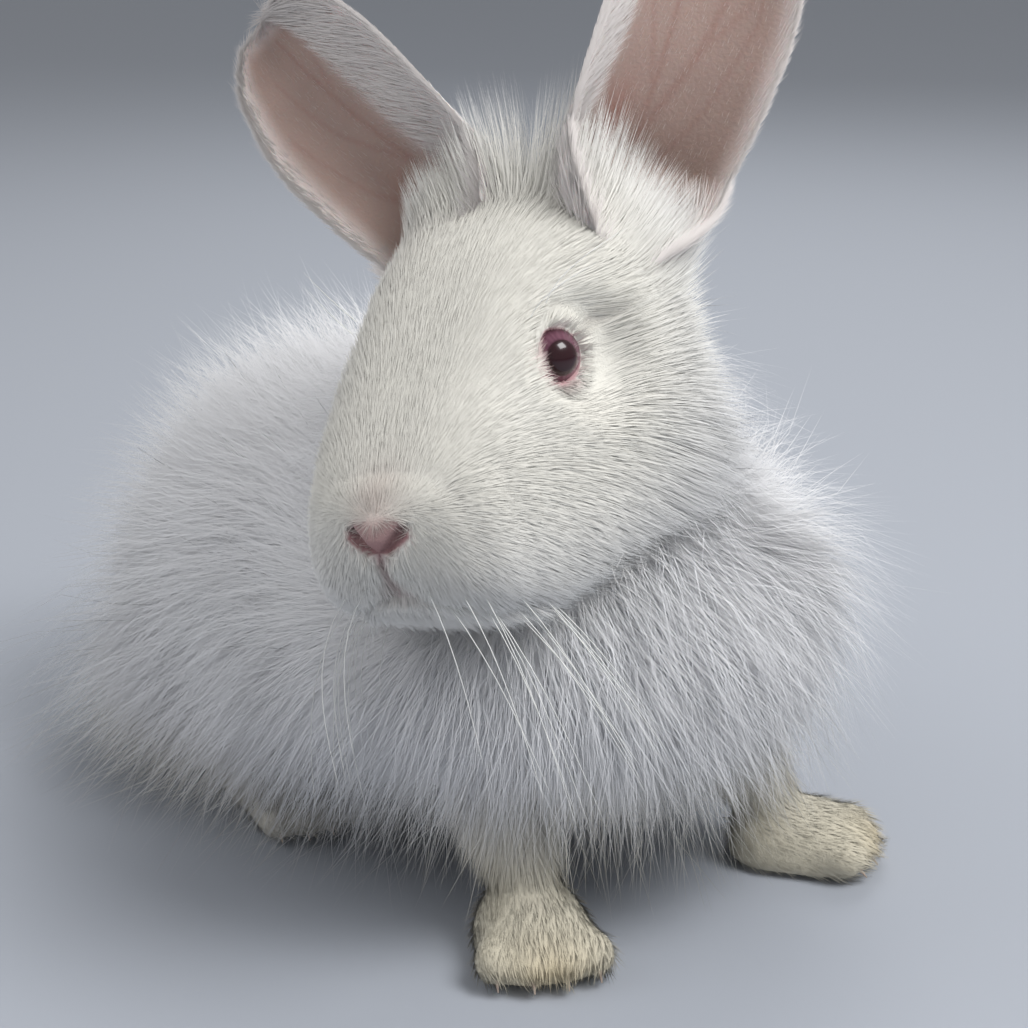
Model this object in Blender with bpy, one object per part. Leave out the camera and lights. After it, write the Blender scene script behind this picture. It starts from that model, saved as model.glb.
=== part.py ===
"""An angora rabbit at life size, still, standing on its front paws with its head turned to its right.

The animal faces -Y, its left side is +X and the floor is z = 0. The wool is a core that reaches
half way out from the skin, with flat, tapered locks fused on it that reach out to the tips.
"""

import math

import bmesh
import bpy
import numpy as np
from mathutils import Matrix

# Clearance between two pieces that touch, and the ways of the three axes.
GAP = 0.0003
AHEAD = np.array([0.0, -1.0, 0.0])
UP = np.array([0.0, 0.0, 1.0])

# Head: its own frame has x to the animal's left, y back and z up, from midway between the eyes.
HEAD_CENTRE = (-0.058, 0.029, 0.180)
HEAD_TURN = math.radians(-66)
HEAD_ROLL = math.radians(-11)
HEAD_NOD = math.radians(7.5)
HEAD_Y = (-0.0610, -0.0590, -0.0535, -0.0430, -0.0280, -0.0100, 0.0100, 0.0280, 0.0430, 0.0550, 0.0610)
HEAD_WIDTH = (0.0060, 0.0160, 0.0272, 0.0350, 0.0400, 0.0432, 0.0458, 0.0485, 0.0470, 0.0345, 0.0110)
HEAD_TOP = (-0.0265, -0.0190, -0.0120, -0.0025, 0.0085, 0.0220, 0.0330, 0.0380, 0.0355, 0.0220, 0.0000)
HEAD_FLOOR = (-0.0380, -0.0455, -0.0530, -0.0605, -0.0650, -0.0670, -0.0660, -0.0620, -0.0530, -0.0360, -0.0140)
HEAD_SQUARE = 3.0
CHEEK_DROP = 0.08
HEAD_STATIONS = 22
HEAD_SIDES = 30
NOSE_CROWDING = 0.55

# Eyes, and the lids round them.
EYE_RADIUS = 0.0090
EYE_SIDE = 0.0265
EYE_LOOK = (0.94, -0.30, 0.12)
LID_TILT = math.radians(50)
LID_HEIGHT = 0.90
LID_THICK = 0.0016
LID_PROUD = 0.55
LID_STEPS = 16
ORBIT_PLACE = (0.0400, -0.0010, 0.0000)
ORBIT_DENT = 0.0098
ORBIT_SPREAD = 0.0112

# Nose, mouth and the pads that carry the whiskers.
NOSE_PLACE = (0.0, -0.0577, -0.0290)
NOSE_SIZE = (0.0104, 0.0058, 0.0066)
NOSTRIL = ((0.0020, -0.0634, -0.0325), (0.0055, -0.0628, -0.0290), (0.0088, -0.0606, -0.0258))
NOSTRIL_RADII = (0.0009, 0.0014, 0.0010)
CLEFT_TOP = (0.0, -0.0636, -0.0320)
CLEFT_PATH = ((-0.0609, -90), (-0.0601, -90), (-0.0590, -90))
CLEFT_RADII = (0.0010, 0.0014, 0.0014, 0.0012)
PAD_PLACE = (0.0175, -0.0490, -0.0400)
PAD_SWELL = 0.0045
PAD_SPREAD = 0.0110
PAD_WAY = (0.75, -0.45, -0.30)
MOUTH_PATH = ((-0.0588, -92), (-0.0575, -80), (-0.0540, -69), (-0.0485, -60), (-0.0425, -53))
LIP_PATH = ((-0.0568, -90), (-0.0552, -82), (-0.0515, -74), (-0.0460, -66))
LIP_THICK = 0.0017
MOUTH_RADII = (0.0013, 0.0012, 0.0011, 0.0009, 0.0007)

# Ears: half width and half opening of the rolled leaf at shares of its length.
EAR_LENGTH = 0.120
EAR_SHARE = (0.0, 0.15, 0.30, 0.50, 0.65, 0.80, 0.92, 1.0)
EAR_WIDTH = (0.0140, 0.0225, 0.0265, 0.0285, 0.0285, 0.0250, 0.0170, 0.0050)
EAR_OPEN = (150, 112, 84, 66, 60, 56, 53, 50)
EAR_THICK = 0.0026
EAR_ROOT_THICK = 1.25
EAR_THINNING = 0.55
EAR_FLATTENED = 0.10
EAR_FORWARD = 0.25
EAR_UPTURN = 0.25
EAR_STATIONS = 15
EAR_SIDES = 11
EAR_TIP_CROWDING = 1.25
EAR_LEFT_BASE = (0.0262, 0.0410, 0.0150)
EAR_RIGHT_BASE = (-0.0080, 0.0410, 0.0150)
EAR_LEFT_AXIS = (0.35, 0.46, 0.83)
EAR_RIGHT_AXIS = (-0.70, 0.22, 0.72)
EAR_LEFT_FACING = math.radians(-14)
EAR_RIGHT_FACING = math.radians(-79)

# Wool core of the body, in sections along the back. It is widest low down, as the wool hangs.
CORE_Y = (-0.004, 0.004, 0.022, 0.050, 0.100, 0.150, 0.200, 0.235, 0.256, 0.264)
CORE_WIDTH = (0.022, 0.048, 0.073, 0.084, 0.080, 0.078, 0.077, 0.063, 0.037, 0.014)
CORE_TOP = (0.100, 0.118, 0.132, 0.141, 0.145, 0.146, 0.139, 0.120, 0.096, 0.078)
CORE_FLOOR = (0.060, 0.050, 0.046, 0.044, 0.034, 0.027, 0.026, 0.028, 0.040, 0.056)
CORE_WAIST = (0.084, 0.088, 0.090, 0.088, 0.072, 0.058, 0.054, 0.056, 0.062, 0.066)
CORE_SQUARE = (2.0, 1.9, 1.9, 2.0, 2.5, 3.2, 3.2, 3.0, 2.6, 2.4)
CORE_POINTED = 1.75
CORE_STATIONS = 14
CORE_SIDES = 20

# Locks of wool: where their rings lie along them, and their half width and thickness there.
LOCK_SHARE = (0.0, 0.36, 0.72, 1.0)
LOCK_TAPER = (0.55, 1.0, 0.68, 0.0)
LOCK_THINNING = (1.0, 0.85, 0.45, 0.0)
LOCK_LENGTH = 0.062
LOCK_WIDTH = 0.0180
LOCK_THICK = 0.0030
LOCK_SINK = 0.012
LOCK_BENDS = (0.85, 1.5, 2.6, 4.5)
LOCK_SWAY = 0.30
LOCK_SPACING = 0.025
LOCK_PLACES = 2600
TAIL_SPACING = 0.019
TAIL_LOCK = 0.62
BELLY_FACING = -0.80
LOCK_FLOOR = 0.0025
COAT_SEED = 7

# How the wool lies: back along the top, and hanging down a little outward and backward elsewhere.
TOP_FACING = (0.15, 0.75)
TOP_LIE = (0.0, 1.0, 0.10)
HANG_OUT = 0.26
RUFF_OUT = 0.85
HANG_BACK = 0.28
FRONT_HANG = 2.2
LEAST_OUT = 0.12

# Crown locks, which stand up between and behind the ears, in the head's frame.
CROWN_PLACES = ((0.0090, 0.0290), (0.0090, 0.0520), (-0.0020, 0.0570), (0.0200, 0.0575))
CROWN_LENGTH = 0.040
CROWN_WIDTH = 0.0060
CROWN_THICK = 0.0022
CROWN_WAY = (0.0, 0.35, 0.94)
CROWN_MIDDLE = (0.005, 0.045)
CROWN_SPLAY = (8.0, 6.0)
CROWN_CURL = (0.0, 0.25, -0.075)
CROWN_FACING = (0.3, -0.95, 0.3)

# Neck core, from behind the head down into the shoulders.
NECK_PATH = ((-0.026, 0.046, 0.172), (-0.012, 0.056, 0.150), (0.0, 0.072, 0.120), (0.0, 0.085, 0.095))
NECK_RADII = (0.026, 0.040, 0.054, 0.048)
NECK_WIDE = 1.05

# Tail core, low on the rump.
TAIL_CENTRE = (0.0, 0.268, 0.070)
TAIL_RADII = (0.020, 0.024, 0.030)

# Forelegs and front paws: where each sole lies and where its toes point.
PAW_PLACE = {"left": (0.060, 0.014), "right": (-0.050, 0.008)}
PAW_TURN = {"left": math.radians(44), "right": math.radians(-24)}
PAW_LENGTH = 0.052
PAW_WIDTH = 0.040
PAW_HEIGHT = 0.024
ELBOW = (0.040, 0.040, 0.085)
WRIST_HEIGHT = 0.017
ARM_RADII = (0.024, 0.020, 0.0165, 0.0150, 0.0110)
ARM_BOW = 0.010
WRIST_BACK = 0.009

# Hind feet, flat under the haunches.
FOOT_PLACE = (0.056, 0.165)
FOOT_TURN = math.radians(7)
FOOT_LENGTH = 0.104
FOOT_WIDTH = 0.034
FOOT_HEIGHT = 0.026
TOES = 4

# Shape of every foot, as shares of its length, width and height, and of a toe's radius.
SOLE_REACH = 0.42
SOLE_WIDE = (0.92, -0.08)
SOLE_HIGH = (0.86, 0.14)
SOLE_ENDS = (0.35, 0.30)
SOLE_LIFT = 0.18
TOE_ROOT = 0.10
TOE_SPREAD = 0.74
TOE_REACH = 0.50
TOE_ARC = 0.34
TOE_RADIUS = 0.155
TOE_SWELLING = (1.0, 1.12, 0.86, 0.35)
TOE_LIFT = (1.2, 1.25, 1.0, 0.85)

# Where the wool is parted into its nodes.
CHEST_SEAM = 0.112
TORSO_SEAM = 0.166
SEAM_SIDES = 20
SEAM_REACH = 0.070
SEAM_BACK = 0.450
HAUNCH_SEAM = 0.036
TAIL_SEAM_CENTRE = (0.0, 0.290, 0.056)
TAIL_SEAM = (0.036, 0.050, 0.050)
SEAM_MIDDLE = 0.1
SEAM_FLARE = 1.6

# How clear the wool stays of the floor and the head, and locks of the tail and the neck's own locks.
WOOL_FLOOR = 0.0015
HEAD_CLEAR = 0.003
ROOT_CLEAR = 0.006
LOCK_KEEP = 0.8
BLOCK_SIZE = 1.0

WOOL_WHITE = (0.56, 0.58, 0.61, 1.0)
FUR_WHITE = (0.64, 0.64, 0.59, 1.0)
PAW_CREAM = (0.55, 0.51, 0.42, 1.0)
EAR_PINK = (0.42, 0.30, 0.27, 1.0)
EYE_RED = (0.13, 0.015, 0.03, 1.0)


def clear_scene():
    for thing in list(bpy.data.objects):
        bpy.data.objects.remove(thing, do_unlink=True)


def collection(name):
    made = bpy.data.collections.new(name)
    bpy.context.scene.collection.children.link(made)
    return made


def mesh_object(name, points, faces, home):
    """A closed mesh object from points and faces, with its faces turned out."""
    mesh = bpy.data.meshes.new(name)
    mesh.from_pydata([tuple(p) for p in points], [], [tuple(f) for f in faces])
    shape = bmesh.new()
    shape.from_mesh(mesh)
    bmesh.ops.triangulate(shape, faces=shape.faces[:])
    bmesh.ops.recalc_face_normals(shape, faces=shape.faces[:])
    shape.to_mesh(mesh)
    shape.free()
    made = bpy.data.objects.new(name, mesh)
    home.objects.link(made)
    return made


def through(stations, values, at):
    """A smooth curve through the values at the stations, read at the given places."""
    stations = np.asarray(stations, float)
    values = np.asarray(values, float)
    at = np.asarray(at, float)
    slopes = np.gradient(values, stations)
    index = np.clip(np.searchsorted(stations, at, side="right") - 1, 0, len(stations) - 2)
    step = stations[index + 1] - stations[index]
    t = (at - stations[index]) / step
    start = values[index] * (2 * t**3 - 3 * t**2 + 1) + slopes[index] * step * (t**3 - 2 * t**2 + t)
    end = values[index + 1] * (3 * t**2 - 2 * t**3) + slopes[index + 1] * step * (t**3 - t**2)
    return start + end


def unit(vector):
    vector = np.asarray(vector, float)
    return vector / np.linalg.norm(vector, axis=-1, keepdims=True)


def ring_faces(rings, sides):
    """Quads between rings of points that follow one another, and a fan from each end's middle point."""
    faces = []
    for i in range(rings - 1):
        for j in range(sides):
            k = (j + 1) % sides
            faces.append((i * sides + j, i * sides + k, (i + 1) * sides + k, (i + 1) * sides + j))
    first = rings * sides
    for j in range(sides):
        k = (j + 1) % sides
        faces.append((first, k, j))
        faces.append((first + 1, (rings - 1) * sides + j, (rings - 1) * sides + k))
    return faces


def loft(name, rings, home):
    """A closed form through rings of points, an array of rings by points by 3."""
    rings = np.asarray(rings, float)
    ends = [rings[0].mean(axis=0), rings[-1].mean(axis=0)]
    points = np.vstack([rings.reshape(-1, 3), ends])
    return mesh_object(name, points, ring_faces(len(rings), rings.shape[1]), home)


def tube(name, path, radii, home, sides=8, wide=1.0):
    """A tube along a path, with a radius at each point. wide stretches it across the upright."""
    path = np.asarray(path, float)
    ways = unit(np.gradient(path, axis=0))
    turn = np.linspace(0, 2 * math.pi, sides, endpoint=False)
    rings = []
    for place, way, radius in zip(path, ways, radii):
        hint = UP if abs(way[2]) < 0.9 else AHEAD
        across = unit(np.cross(way, hint))
        over = np.cross(across, way)
        rings.append(place + radius * (np.outer(wide * np.cos(turn), across) + np.outer(np.sin(turn), over)))
    return loft(name, rings, home)


def ellipsoid(name, centre, radii, home, segments=20, rings=12):
    shape = bmesh.new()
    bmesh.ops.create_uvsphere(shape, u_segments=segments, v_segments=rings, radius=1.0)
    bmesh.ops.scale(shape, vec=radii, verts=shape.verts)
    bmesh.ops.translate(shape, vec=centre, verts=shape.verts)
    bmesh.ops.triangulate(shape, faces=shape.faces[:])
    mesh = bpy.data.meshes.new(name)
    shape.to_mesh(mesh)
    shape.free()
    made = bpy.data.objects.new(name, mesh)
    home.objects.link(made)
    return made


def combine(target, operation, others):
    """Joins, cuts or keeps what target shares with others, a list of closed objects, and removes those."""
    pieces = bpy.data.collections.new("pieces")
    for other in others:
        pieces.objects.link(other)
    step = target.modifiers.new("combine", "BOOLEAN")
    step.operation = operation
    step.solver = "MANIFOLD"
    step.operand_type = "COLLECTION"
    step.collection = pieces
    bpy.context.view_layer.update()
    graph = bpy.context.evaluated_depsgraph_get()
    result = bpy.data.meshes.new_from_object(target.evaluated_get(graph))
    target.modifiers.remove(step)
    target.data = result
    for other in others:
        bpy.data.objects.remove(other, do_unlink=True)
    bpy.data.collections.remove(pieces)
    return target


def copy_of(source, name):
    made = source.copy()
    made.data = source.data.copy()
    made.name = name
    source.users_collection[0].objects.link(made)
    return made


def islands(shape):
    """The separate surfaces of a bmesh, as lists of faces."""
    left = set(shape.faces)
    found = []
    while left:
        stack = [left.pop()]
        island = list(stack)
        while stack:
            for edge in stack.pop().edges:
                for face in edge.link_faces:
                    if face in left:
                        left.remove(face)
                        stack.append(face)
                        island.append(face)
        found.append(island)
    return found


def volume_of(faces):
    total = 0.0
    for face in faces:
        corners = [v.co for v in face.verts]
        for i in range(1, len(corners) - 1):
            total += corners[0].dot(corners[i].cross(corners[i + 1])) / 6
    return total


def keep_largest(target):
    """Leaves the largest closed surface of the object, and says what volumes it drops."""
    shape = bmesh.new()
    shape.from_mesh(target.data)
    found = sorted(islands(shape), key=volume_of, reverse=True)
    dropped = [round(volume_of(island) * 1e9) for island in found[1:]]
    for island in found[1:]:
        bmesh.ops.delete(shape, geom=island, context="FACES")
    bmesh.ops.triangulate(shape, faces=shape.faces[:])
    shape.to_mesh(target.data)
    shape.free()
    if dropped:
        print(target.name, "drops", dropped, "mm3")
    return target


def slab(name, centre, size, home):
    """A block of the given size."""
    shape = bmesh.new()
    bmesh.ops.create_cube(shape, size=1.0)
    bmesh.ops.scale(shape, vec=size, verts=shape.verts)
    bmesh.ops.translate(shape, vec=centre, verts=shape.verts)
    bmesh.ops.triangulate(shape, faces=shape.faces[:])
    mesh = bpy.data.meshes.new(name)
    shape.to_mesh(mesh)
    shape.free()
    made = bpy.data.objects.new(name, mesh)
    home.objects.link(made)
    return made


def head_matrix():
    turn = Matrix.Rotation(HEAD_TURN, 4, "Z")
    roll = Matrix.Rotation(HEAD_ROLL, 4, "Y")
    nod = Matrix.Rotation(HEAD_NOD, 4, "X")
    return Matrix.Translation(HEAD_CENTRE) @ turn @ roll @ nod


def to_world(points):
    """Points of the head's own frame in the world."""
    place = np.array(head_matrix())
    return np.asarray(points, float) @ place[:3, :3].T + place[:3, 3]


def head_points(y, angle, grow=0.0):
    """Points of the head's surface at stations y and angles from the animal's left, up being 90 degrees."""
    y, angle = np.broadcast_arrays(np.asarray(y, float), np.asarray(angle, float))
    width = through(HEAD_Y, HEAD_WIDTH, y) + grow
    top = through(HEAD_Y, HEAD_TOP, y) + grow
    floor = through(HEAD_Y, HEAD_FLOOR, y) - grow
    middle = (top + floor) / 2
    half = (top - floor) / 2
    power = 2 / HEAD_SQUARE
    rise = np.sign(np.sin(angle)) * np.abs(np.sin(angle)) ** power
    side = np.sign(np.cos(angle)) * np.abs(np.cos(angle)) ** power
    points = np.stack([width * side * (1 - CHEEK_DROP * rise), y, middle + half * rise], axis=-1)
    return points + swells(points)


def swells(points):
    """How far the whisker pads push the head's surface out, and the orbits draw it in."""
    moved = np.zeros_like(points)
    for side in (-1, 1):
        pad = np.array(PAD_PLACE) * (side, 1, 1)
        near = np.exp(-((points - pad) ** 2).sum(axis=-1) / (2 * PAD_SPREAD**2))
        moved += PAD_SWELL * near[..., None] * unit(np.array(PAD_WAY) * (side, 1, 1))
        orbit = np.array(ORBIT_PLACE) * (side, 1, 1)
        near = np.exp(-(((points - orbit) ** 2).sum(axis=-1) / (2 * ORBIT_SPREAD**2)) ** 2)
        moved -= ORBIT_DENT * near[..., None] * np.array([side, 0.0, 0.0])
    return moved


def head_form(name, home, grow=0.0):
    """The head's smooth form. Its stations lie closer together toward the nose."""
    share = np.linspace(0, 1, HEAD_STATIONS)
    spread = (HEAD_Y[-1] - HEAD_Y[0]) + 2 * grow
    stations = HEAD_Y[0] - grow + spread * (NOSE_CROWDING * share**2 + (1 - NOSE_CROWDING) * share)
    inner = np.clip(stations, HEAD_Y[0], HEAD_Y[-1])
    angles = np.linspace(0, 2 * math.pi, HEAD_SIDES, endpoint=False)
    rings = head_points(inner[:, None], angles[None, :], grow)
    rings[..., 1] += (stations - inner)[:, None]
    return loft(name, to_world(rings), home)


def surface_path(path, side):
    """Places on the head's surface from pairs of station and angle in degrees, on one side of the head."""
    stations = np.array([y for y, _ in path])
    angles = np.radians([a for _, a in path])
    points = head_points(stations, angles)
    points[:, 0] *= side
    return points


def lid_path(side):
    """The rim of one eye's opening, a ring on a sphere just larger than the eye."""
    look = unit((side * EYE_LOOK[0], EYE_LOOK[1], EYE_LOOK[2]))
    along = unit(np.cross(look, UP))
    over = np.cross(along, look)
    turn = np.linspace(0, 2 * math.pi, LID_STEPS, endpoint=False)
    radius = EYE_RADIUS + LID_THICK * LID_PROUD
    centre = np.array([side * EYE_SIDE, 0.0, 0.0])
    out = radius * math.cos(LID_TILT) * look
    ring = np.outer(np.cos(turn), along) + LID_HEIGHT * np.outer(np.sin(turn), over)
    return centre + out + radius * math.sin(LID_TILT) * ring


def ring_tube(name, path, thick, home, sides=6):
    """A closed ring of even thickness along a closed path."""
    path = np.asarray(path, float)
    count = len(path)
    middle = path.mean(axis=0)
    points = []
    for i in range(count):
        way = unit(path[(i + 1) % count] - path[i - 1])
        out = unit(path[i] - middle)
        over = np.cross(way, out)
        for j in range(sides):
            turn = 2 * math.pi * j / sides
            points.append(path[i] + thick * (math.cos(turn) * out + math.sin(turn) * over))
    faces = []
    for i in range(count):
        for j in range(sides):
            k, m = (i + 1) % count, (j + 1) % sides
            faces.append((i * sides + j, i * sides + m, k * sides + m, k * sides + j))
    return mesh_object(name, points, faces, home)


def eye(side, name, home, grow=0.0):
    centre = to_world([side * EYE_SIDE, 0.0, 0.0])
    radius = EYE_RADIUS + grow
    return ellipsoid(name, centre, (radius, radius, radius), home, 18, 10)


def head(home):
    """Head with lids, nose leather, nostrils, cleft, mouth line and lips, and sockets for the eyes."""
    body = head_form("head", home)
    added = []
    cut = []
    nose = ellipsoid("nose", (0, 0, 0), NOSE_SIZE, home, 14, 10)
    nose.data.transform(head_matrix() @ Matrix.Translation(NOSE_PLACE))
    added.append(nose)
    cleft = np.vstack([[CLEFT_TOP], surface_path(CLEFT_PATH, 1)])
    cut.append(tube("cleft", to_world(cleft), CLEFT_RADII, home, 6))
    for side in (-1, 1):
        lids = to_world(lid_path(side))
        added.append(ring_tube("lids", lids, LID_THICK, home))
        lip = surface_path(LIP_PATH, side)
        added.append(tube("lip", to_world(lip), [LIP_THICK] * len(lip), home, 6))
        mouth = surface_path(MOUTH_PATH, side)
        cut.append(tube("mouth", to_world(mouth), MOUTH_RADII, home, 6))
        slit = np.array(NOSTRIL) * (side, 1, 1)
        cut.append(tube("nostril", to_world(slit), NOSTRIL_RADII, home, 6))
        cut.append(eye(side, "socket", home, GAP))
    added.append(crown(home))
    combine(body, "UNION", added)
    combine(body, "DIFFERENCE", cut)
    return keep_largest(body)


def crown(home):
    """The locks that stand up between the ears, cut clear of them."""
    turned = np.array(head_matrix())[:3, :3]
    rest = []
    for i, (x, y) in enumerate(CROWN_PLACES):
        top = float(through(HEAD_Y, HEAD_TOP, [y])[0])
        splay = np.array(CROWN_SPLAY) * (x - CROWN_MIDDLE[0], y - CROWN_MIDDLE[1])
        lean = unit(np.array(CROWN_WAY) + (splay[0], splay[1], 0.0))
        share = np.array(LOCK_SHARE)[:, None]
        path = np.array([x, y, top - LOCK_SINK]) + share * CROWN_LENGTH * (lean + share * CROWN_CURL)
        facing = turned @ unit(np.array(CROWN_FACING) * ((-1) ** i, 1, 1))
        form = lock_form("crown", to_world(path), facing, CROWN_WIDTH, CROWN_THICK, home)
        rest.append(form)
    first = rest.pop()
    combine(first, "UNION", rest)
    return combine(first, "DIFFERENCE", [ear_form(side, "ear_cutter", home, GAP) for side in (-1, 1)])


def ear_rings(side, grow=0.0):
    """Crescents along one ear: its back, then its inner face, at each station."""
    axis = unit(EAR_LEFT_AXIS if side > 0 else EAR_RIGHT_AXIS)
    place = np.array(head_matrix())[:3, :3]
    axis = place @ axis
    azimuth = EAR_LEFT_FACING if side > 0 else EAR_RIGHT_FACING
    facing = np.array([math.sin(azimuth), -math.cos(azimuth), EAR_UPTURN])
    facing = unit(facing - axis * facing.dot(axis))
    across = np.cross(axis, facing)
    base = to_world(EAR_LEFT_BASE if side > 0 else EAR_RIGHT_BASE)
    shares = 1 - (1 - np.linspace(0, 1, EAR_STATIONS)) ** EAR_TIP_CROWDING
    widths = through(EAR_SHARE, EAR_WIDTH, shares)
    opens = np.radians(through(EAR_SHARE, EAR_OPEN, shares))
    rings = []
    for share, width, half in zip(shares, widths, opens):
        radius = width / math.sin(min(half, math.pi / 2))
        thick = EAR_THICK * (EAR_ROOT_THICK - EAR_THINNING * share)
        turn = np.linspace(-half, half, EAR_SIDES)
        back = 1 - EAR_FLATTENED * math.sin(math.pi * share)
        forward = radius * (math.cos(min(half, math.pi / 2)) + EAR_FORWARD)
        centre = base + axis * EAR_LENGTH * share + facing * forward
        crescent = []
        for round_angle, size in ((turn, radius + grow), (turn[::-1], radius - thick - grow)):
            arc = np.outer(np.sin(round_angle), across) - back * np.outer(np.cos(round_angle), facing)
            crescent.append(centre + size * arc)
        rings.append(np.vstack(crescent))
    return np.array(rings)


def ear_form(side, name, home, grow=0.0):
    """A leaf rolled to a tube at its base and open above."""
    rings = ear_rings(side, grow)
    count, sides = rings.shape[:2]
    faces = ring_faces(count, sides)[: (count - 1) * sides]
    half = sides // 2
    for start, turned in ((0, False), ((count - 1) * sides, True)):
        for j in range(half - 1):
            quad = (start + j, start + j + 1, start + sides - 2 - j, start + sides - 1 - j)
            faces.append(quad if turned else quad[::-1])
    return mesh_object(name, rings.reshape(-1, 3), faces, home)


def ear(side, name, home):
    """One ear, cut clear of the head."""
    return keep_largest(combine(ear_form(side, name, home), "DIFFERENCE", [head_form("head_cutter", home, GAP)]))


def foot_pieces(name, place, turn, length, width, height, home, grow=0.0):
    """A foot as a rounded sole and four toes that reach past it, turned about the upright."""
    turned = Matrix.Translation((place[0], place[1], 0.0)) @ Matrix.Rotation(turn, 4, "Z")
    share = np.linspace(-1, 1, 8)
    sole = []
    angles = np.linspace(0, 2 * math.pi, 14, endpoint=False)
    for s in share:
        round_off = math.sqrt(max(0.0, 1 - abs(s) ** 3))
        wide = width / 2 * (SOLE_WIDE[0] + SOLE_WIDE[1] * s)
        wide = wide * (SOLE_ENDS[0] + (1 - SOLE_ENDS[0]) * round_off) + grow
        high = height * (SOLE_HIGH[0] + SOLE_HIGH[1] * s)
        high = (high * (SOLE_ENDS[1] + (1 - SOLE_ENDS[1]) * round_off) + grow) * (1 - SOLE_LIFT)
        y = s * (length * SOLE_REACH + grow)
        ring = [(wide * math.cos(a), y, height * SOLE_LIFT + high * math.sin(a)) for a in angles]
        sole.append(ring)
    pieces = [loft(name, sole, home)]
    for i in range(TOES):
        spread = (i - (TOES - 1) / 2) / (TOES - 1)
        x = spread * width * TOE_SPREAD
        reach = length * TOE_REACH - TOE_ARC * spread**2 * width
        radius = width * TOE_RADIUS
        across = (0.8 * x, x, 1.04 * x, 1.04 * x)
        along = (-length * TOE_ROOT, radius - reach, 0.2 * radius - reach, -reach)
        path = np.column_stack([across, along, radius * np.array(TOE_LIFT)])
        radii = radius * np.array(TOE_SWELLING) + grow
        pieces.append(tube(name + "_toe", path, radii, home, 7))
    for piece in pieces:
        piece.data.transform(turned)
    return pieces


def joined_foot(name, home, grow, *sizes):
    first, *rest = foot_pieces(name, *sizes, home, grow)
    combine(first, "UNION", rest)
    return first


def front_paw(side_name, name, home, grow=0.0):
    sizes = (PAW_PLACE[side_name], PAW_TURN[side_name], PAW_LENGTH, PAW_WIDTH, PAW_HEIGHT)
    return joined_foot(name, home, grow, *sizes)


def hind_foot(side, name, home, grow=0.0):
    place = (side * FOOT_PLACE[0], FOOT_PLACE[1])
    sizes = (place, side * FOOT_TURN, FOOT_LENGTH, FOOT_WIDTH, FOOT_HEIGHT)
    return joined_foot(name, home, grow, *sizes)


def foreleg(side_name, name, home, grow=0.0):
    """Forearm from the elbow, inside the wool, down to the wrist, which sits in the back of the paw."""
    side = 1 if side_name == "left" else -1
    elbow = np.array([side * ELBOW[0], ELBOW[1], ELBOW[2]])
    x, y = PAW_PLACE[side_name]
    turn = PAW_TURN[side_name]
    wrist = np.array([x - WRIST_BACK * math.sin(turn), y + WRIST_BACK * math.cos(turn), WRIST_HEIGHT])
    shares = np.linspace(0, 1, 5)[:, None]
    path = elbow + (wrist - elbow) * shares
    path[:, 1] += ARM_BOW * np.sin(math.pi * shares[:, 0])
    return tube(name, path, np.array(ARM_RADII) + grow, home, 12)


def core_points(y, angle, out=0.0):
    """Points of the body's wool core at stations y and angles, up being 90 degrees, pushed out by a depth."""
    y, angle = np.broadcast_arrays(np.asarray(y, float), np.asarray(angle, float))
    width = through(CORE_Y, CORE_WIDTH, y) + out
    top = through(CORE_Y, CORE_TOP, y) + out
    floor = through(CORE_Y, CORE_FLOOR, y) - out
    waist = through(CORE_Y, CORE_WAIST, y)
    above = np.sin(angle) > 0
    power = 2 / np.where(above, CORE_POINTED, through(CORE_Y, CORE_SQUARE, y))
    half = np.where(above, top - waist, waist - floor)
    side = np.sign(np.cos(angle)) * np.abs(np.cos(angle)) ** power
    rise = np.sign(np.sin(angle)) * np.abs(np.sin(angle)) ** power
    return np.stack([width * side, y, waist + half * rise], axis=-1)


def core_form(name, home, out=0.0):
    span = CORE_Y[-1] - CORE_Y[0]
    share = (1 - np.cos(math.pi * np.linspace(0, 1, CORE_STATIONS))) / 2
    inner = CORE_Y[0] + span * share
    stations = CORE_Y[0] - out + (span + 2 * out) * share
    angles = np.linspace(0, 2 * math.pi, CORE_SIDES, endpoint=False)
    rings = core_points(inner[:, None], angles[None, :], out)
    rings[..., 1] = stations[:, None]
    return loft(name, rings, home)


def neck_form(name, home, out=0.0):
    path = np.array(NECK_PATH)
    return tube(name, path, np.array(NECK_RADII) + out, home, 18, NECK_WIDE)


def tail_form(name, home, out=0.0):
    radii = tuple(r + out for r in TAIL_RADII)
    return ellipsoid(name, TAIL_CENTRE, radii, home, 16, 10)


def core_holds(points, margin=0.0):
    """Which points lie inside the body's core, or within a margin of it."""
    x, y, z = np.moveaxis(np.asarray(points, float), -1, 0)
    at = np.clip(y, CORE_Y[0], CORE_Y[-1])
    waist = through(CORE_Y, CORE_WAIST, at)
    above = z > waist
    power = np.where(above, CORE_POINTED, through(CORE_Y, CORE_SQUARE, at))
    half = np.where(above, through(CORE_Y, CORE_TOP, at) - waist, waist - through(CORE_Y, CORE_FLOOR, at)) + margin
    width = through(CORE_Y, CORE_WIDTH, at) + margin
    inside = np.abs(x / width) ** power + np.abs((z - waist) / half) ** power < 1
    return inside & (y > CORE_Y[0] - margin) & (y < CORE_Y[-1] + margin)


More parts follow.
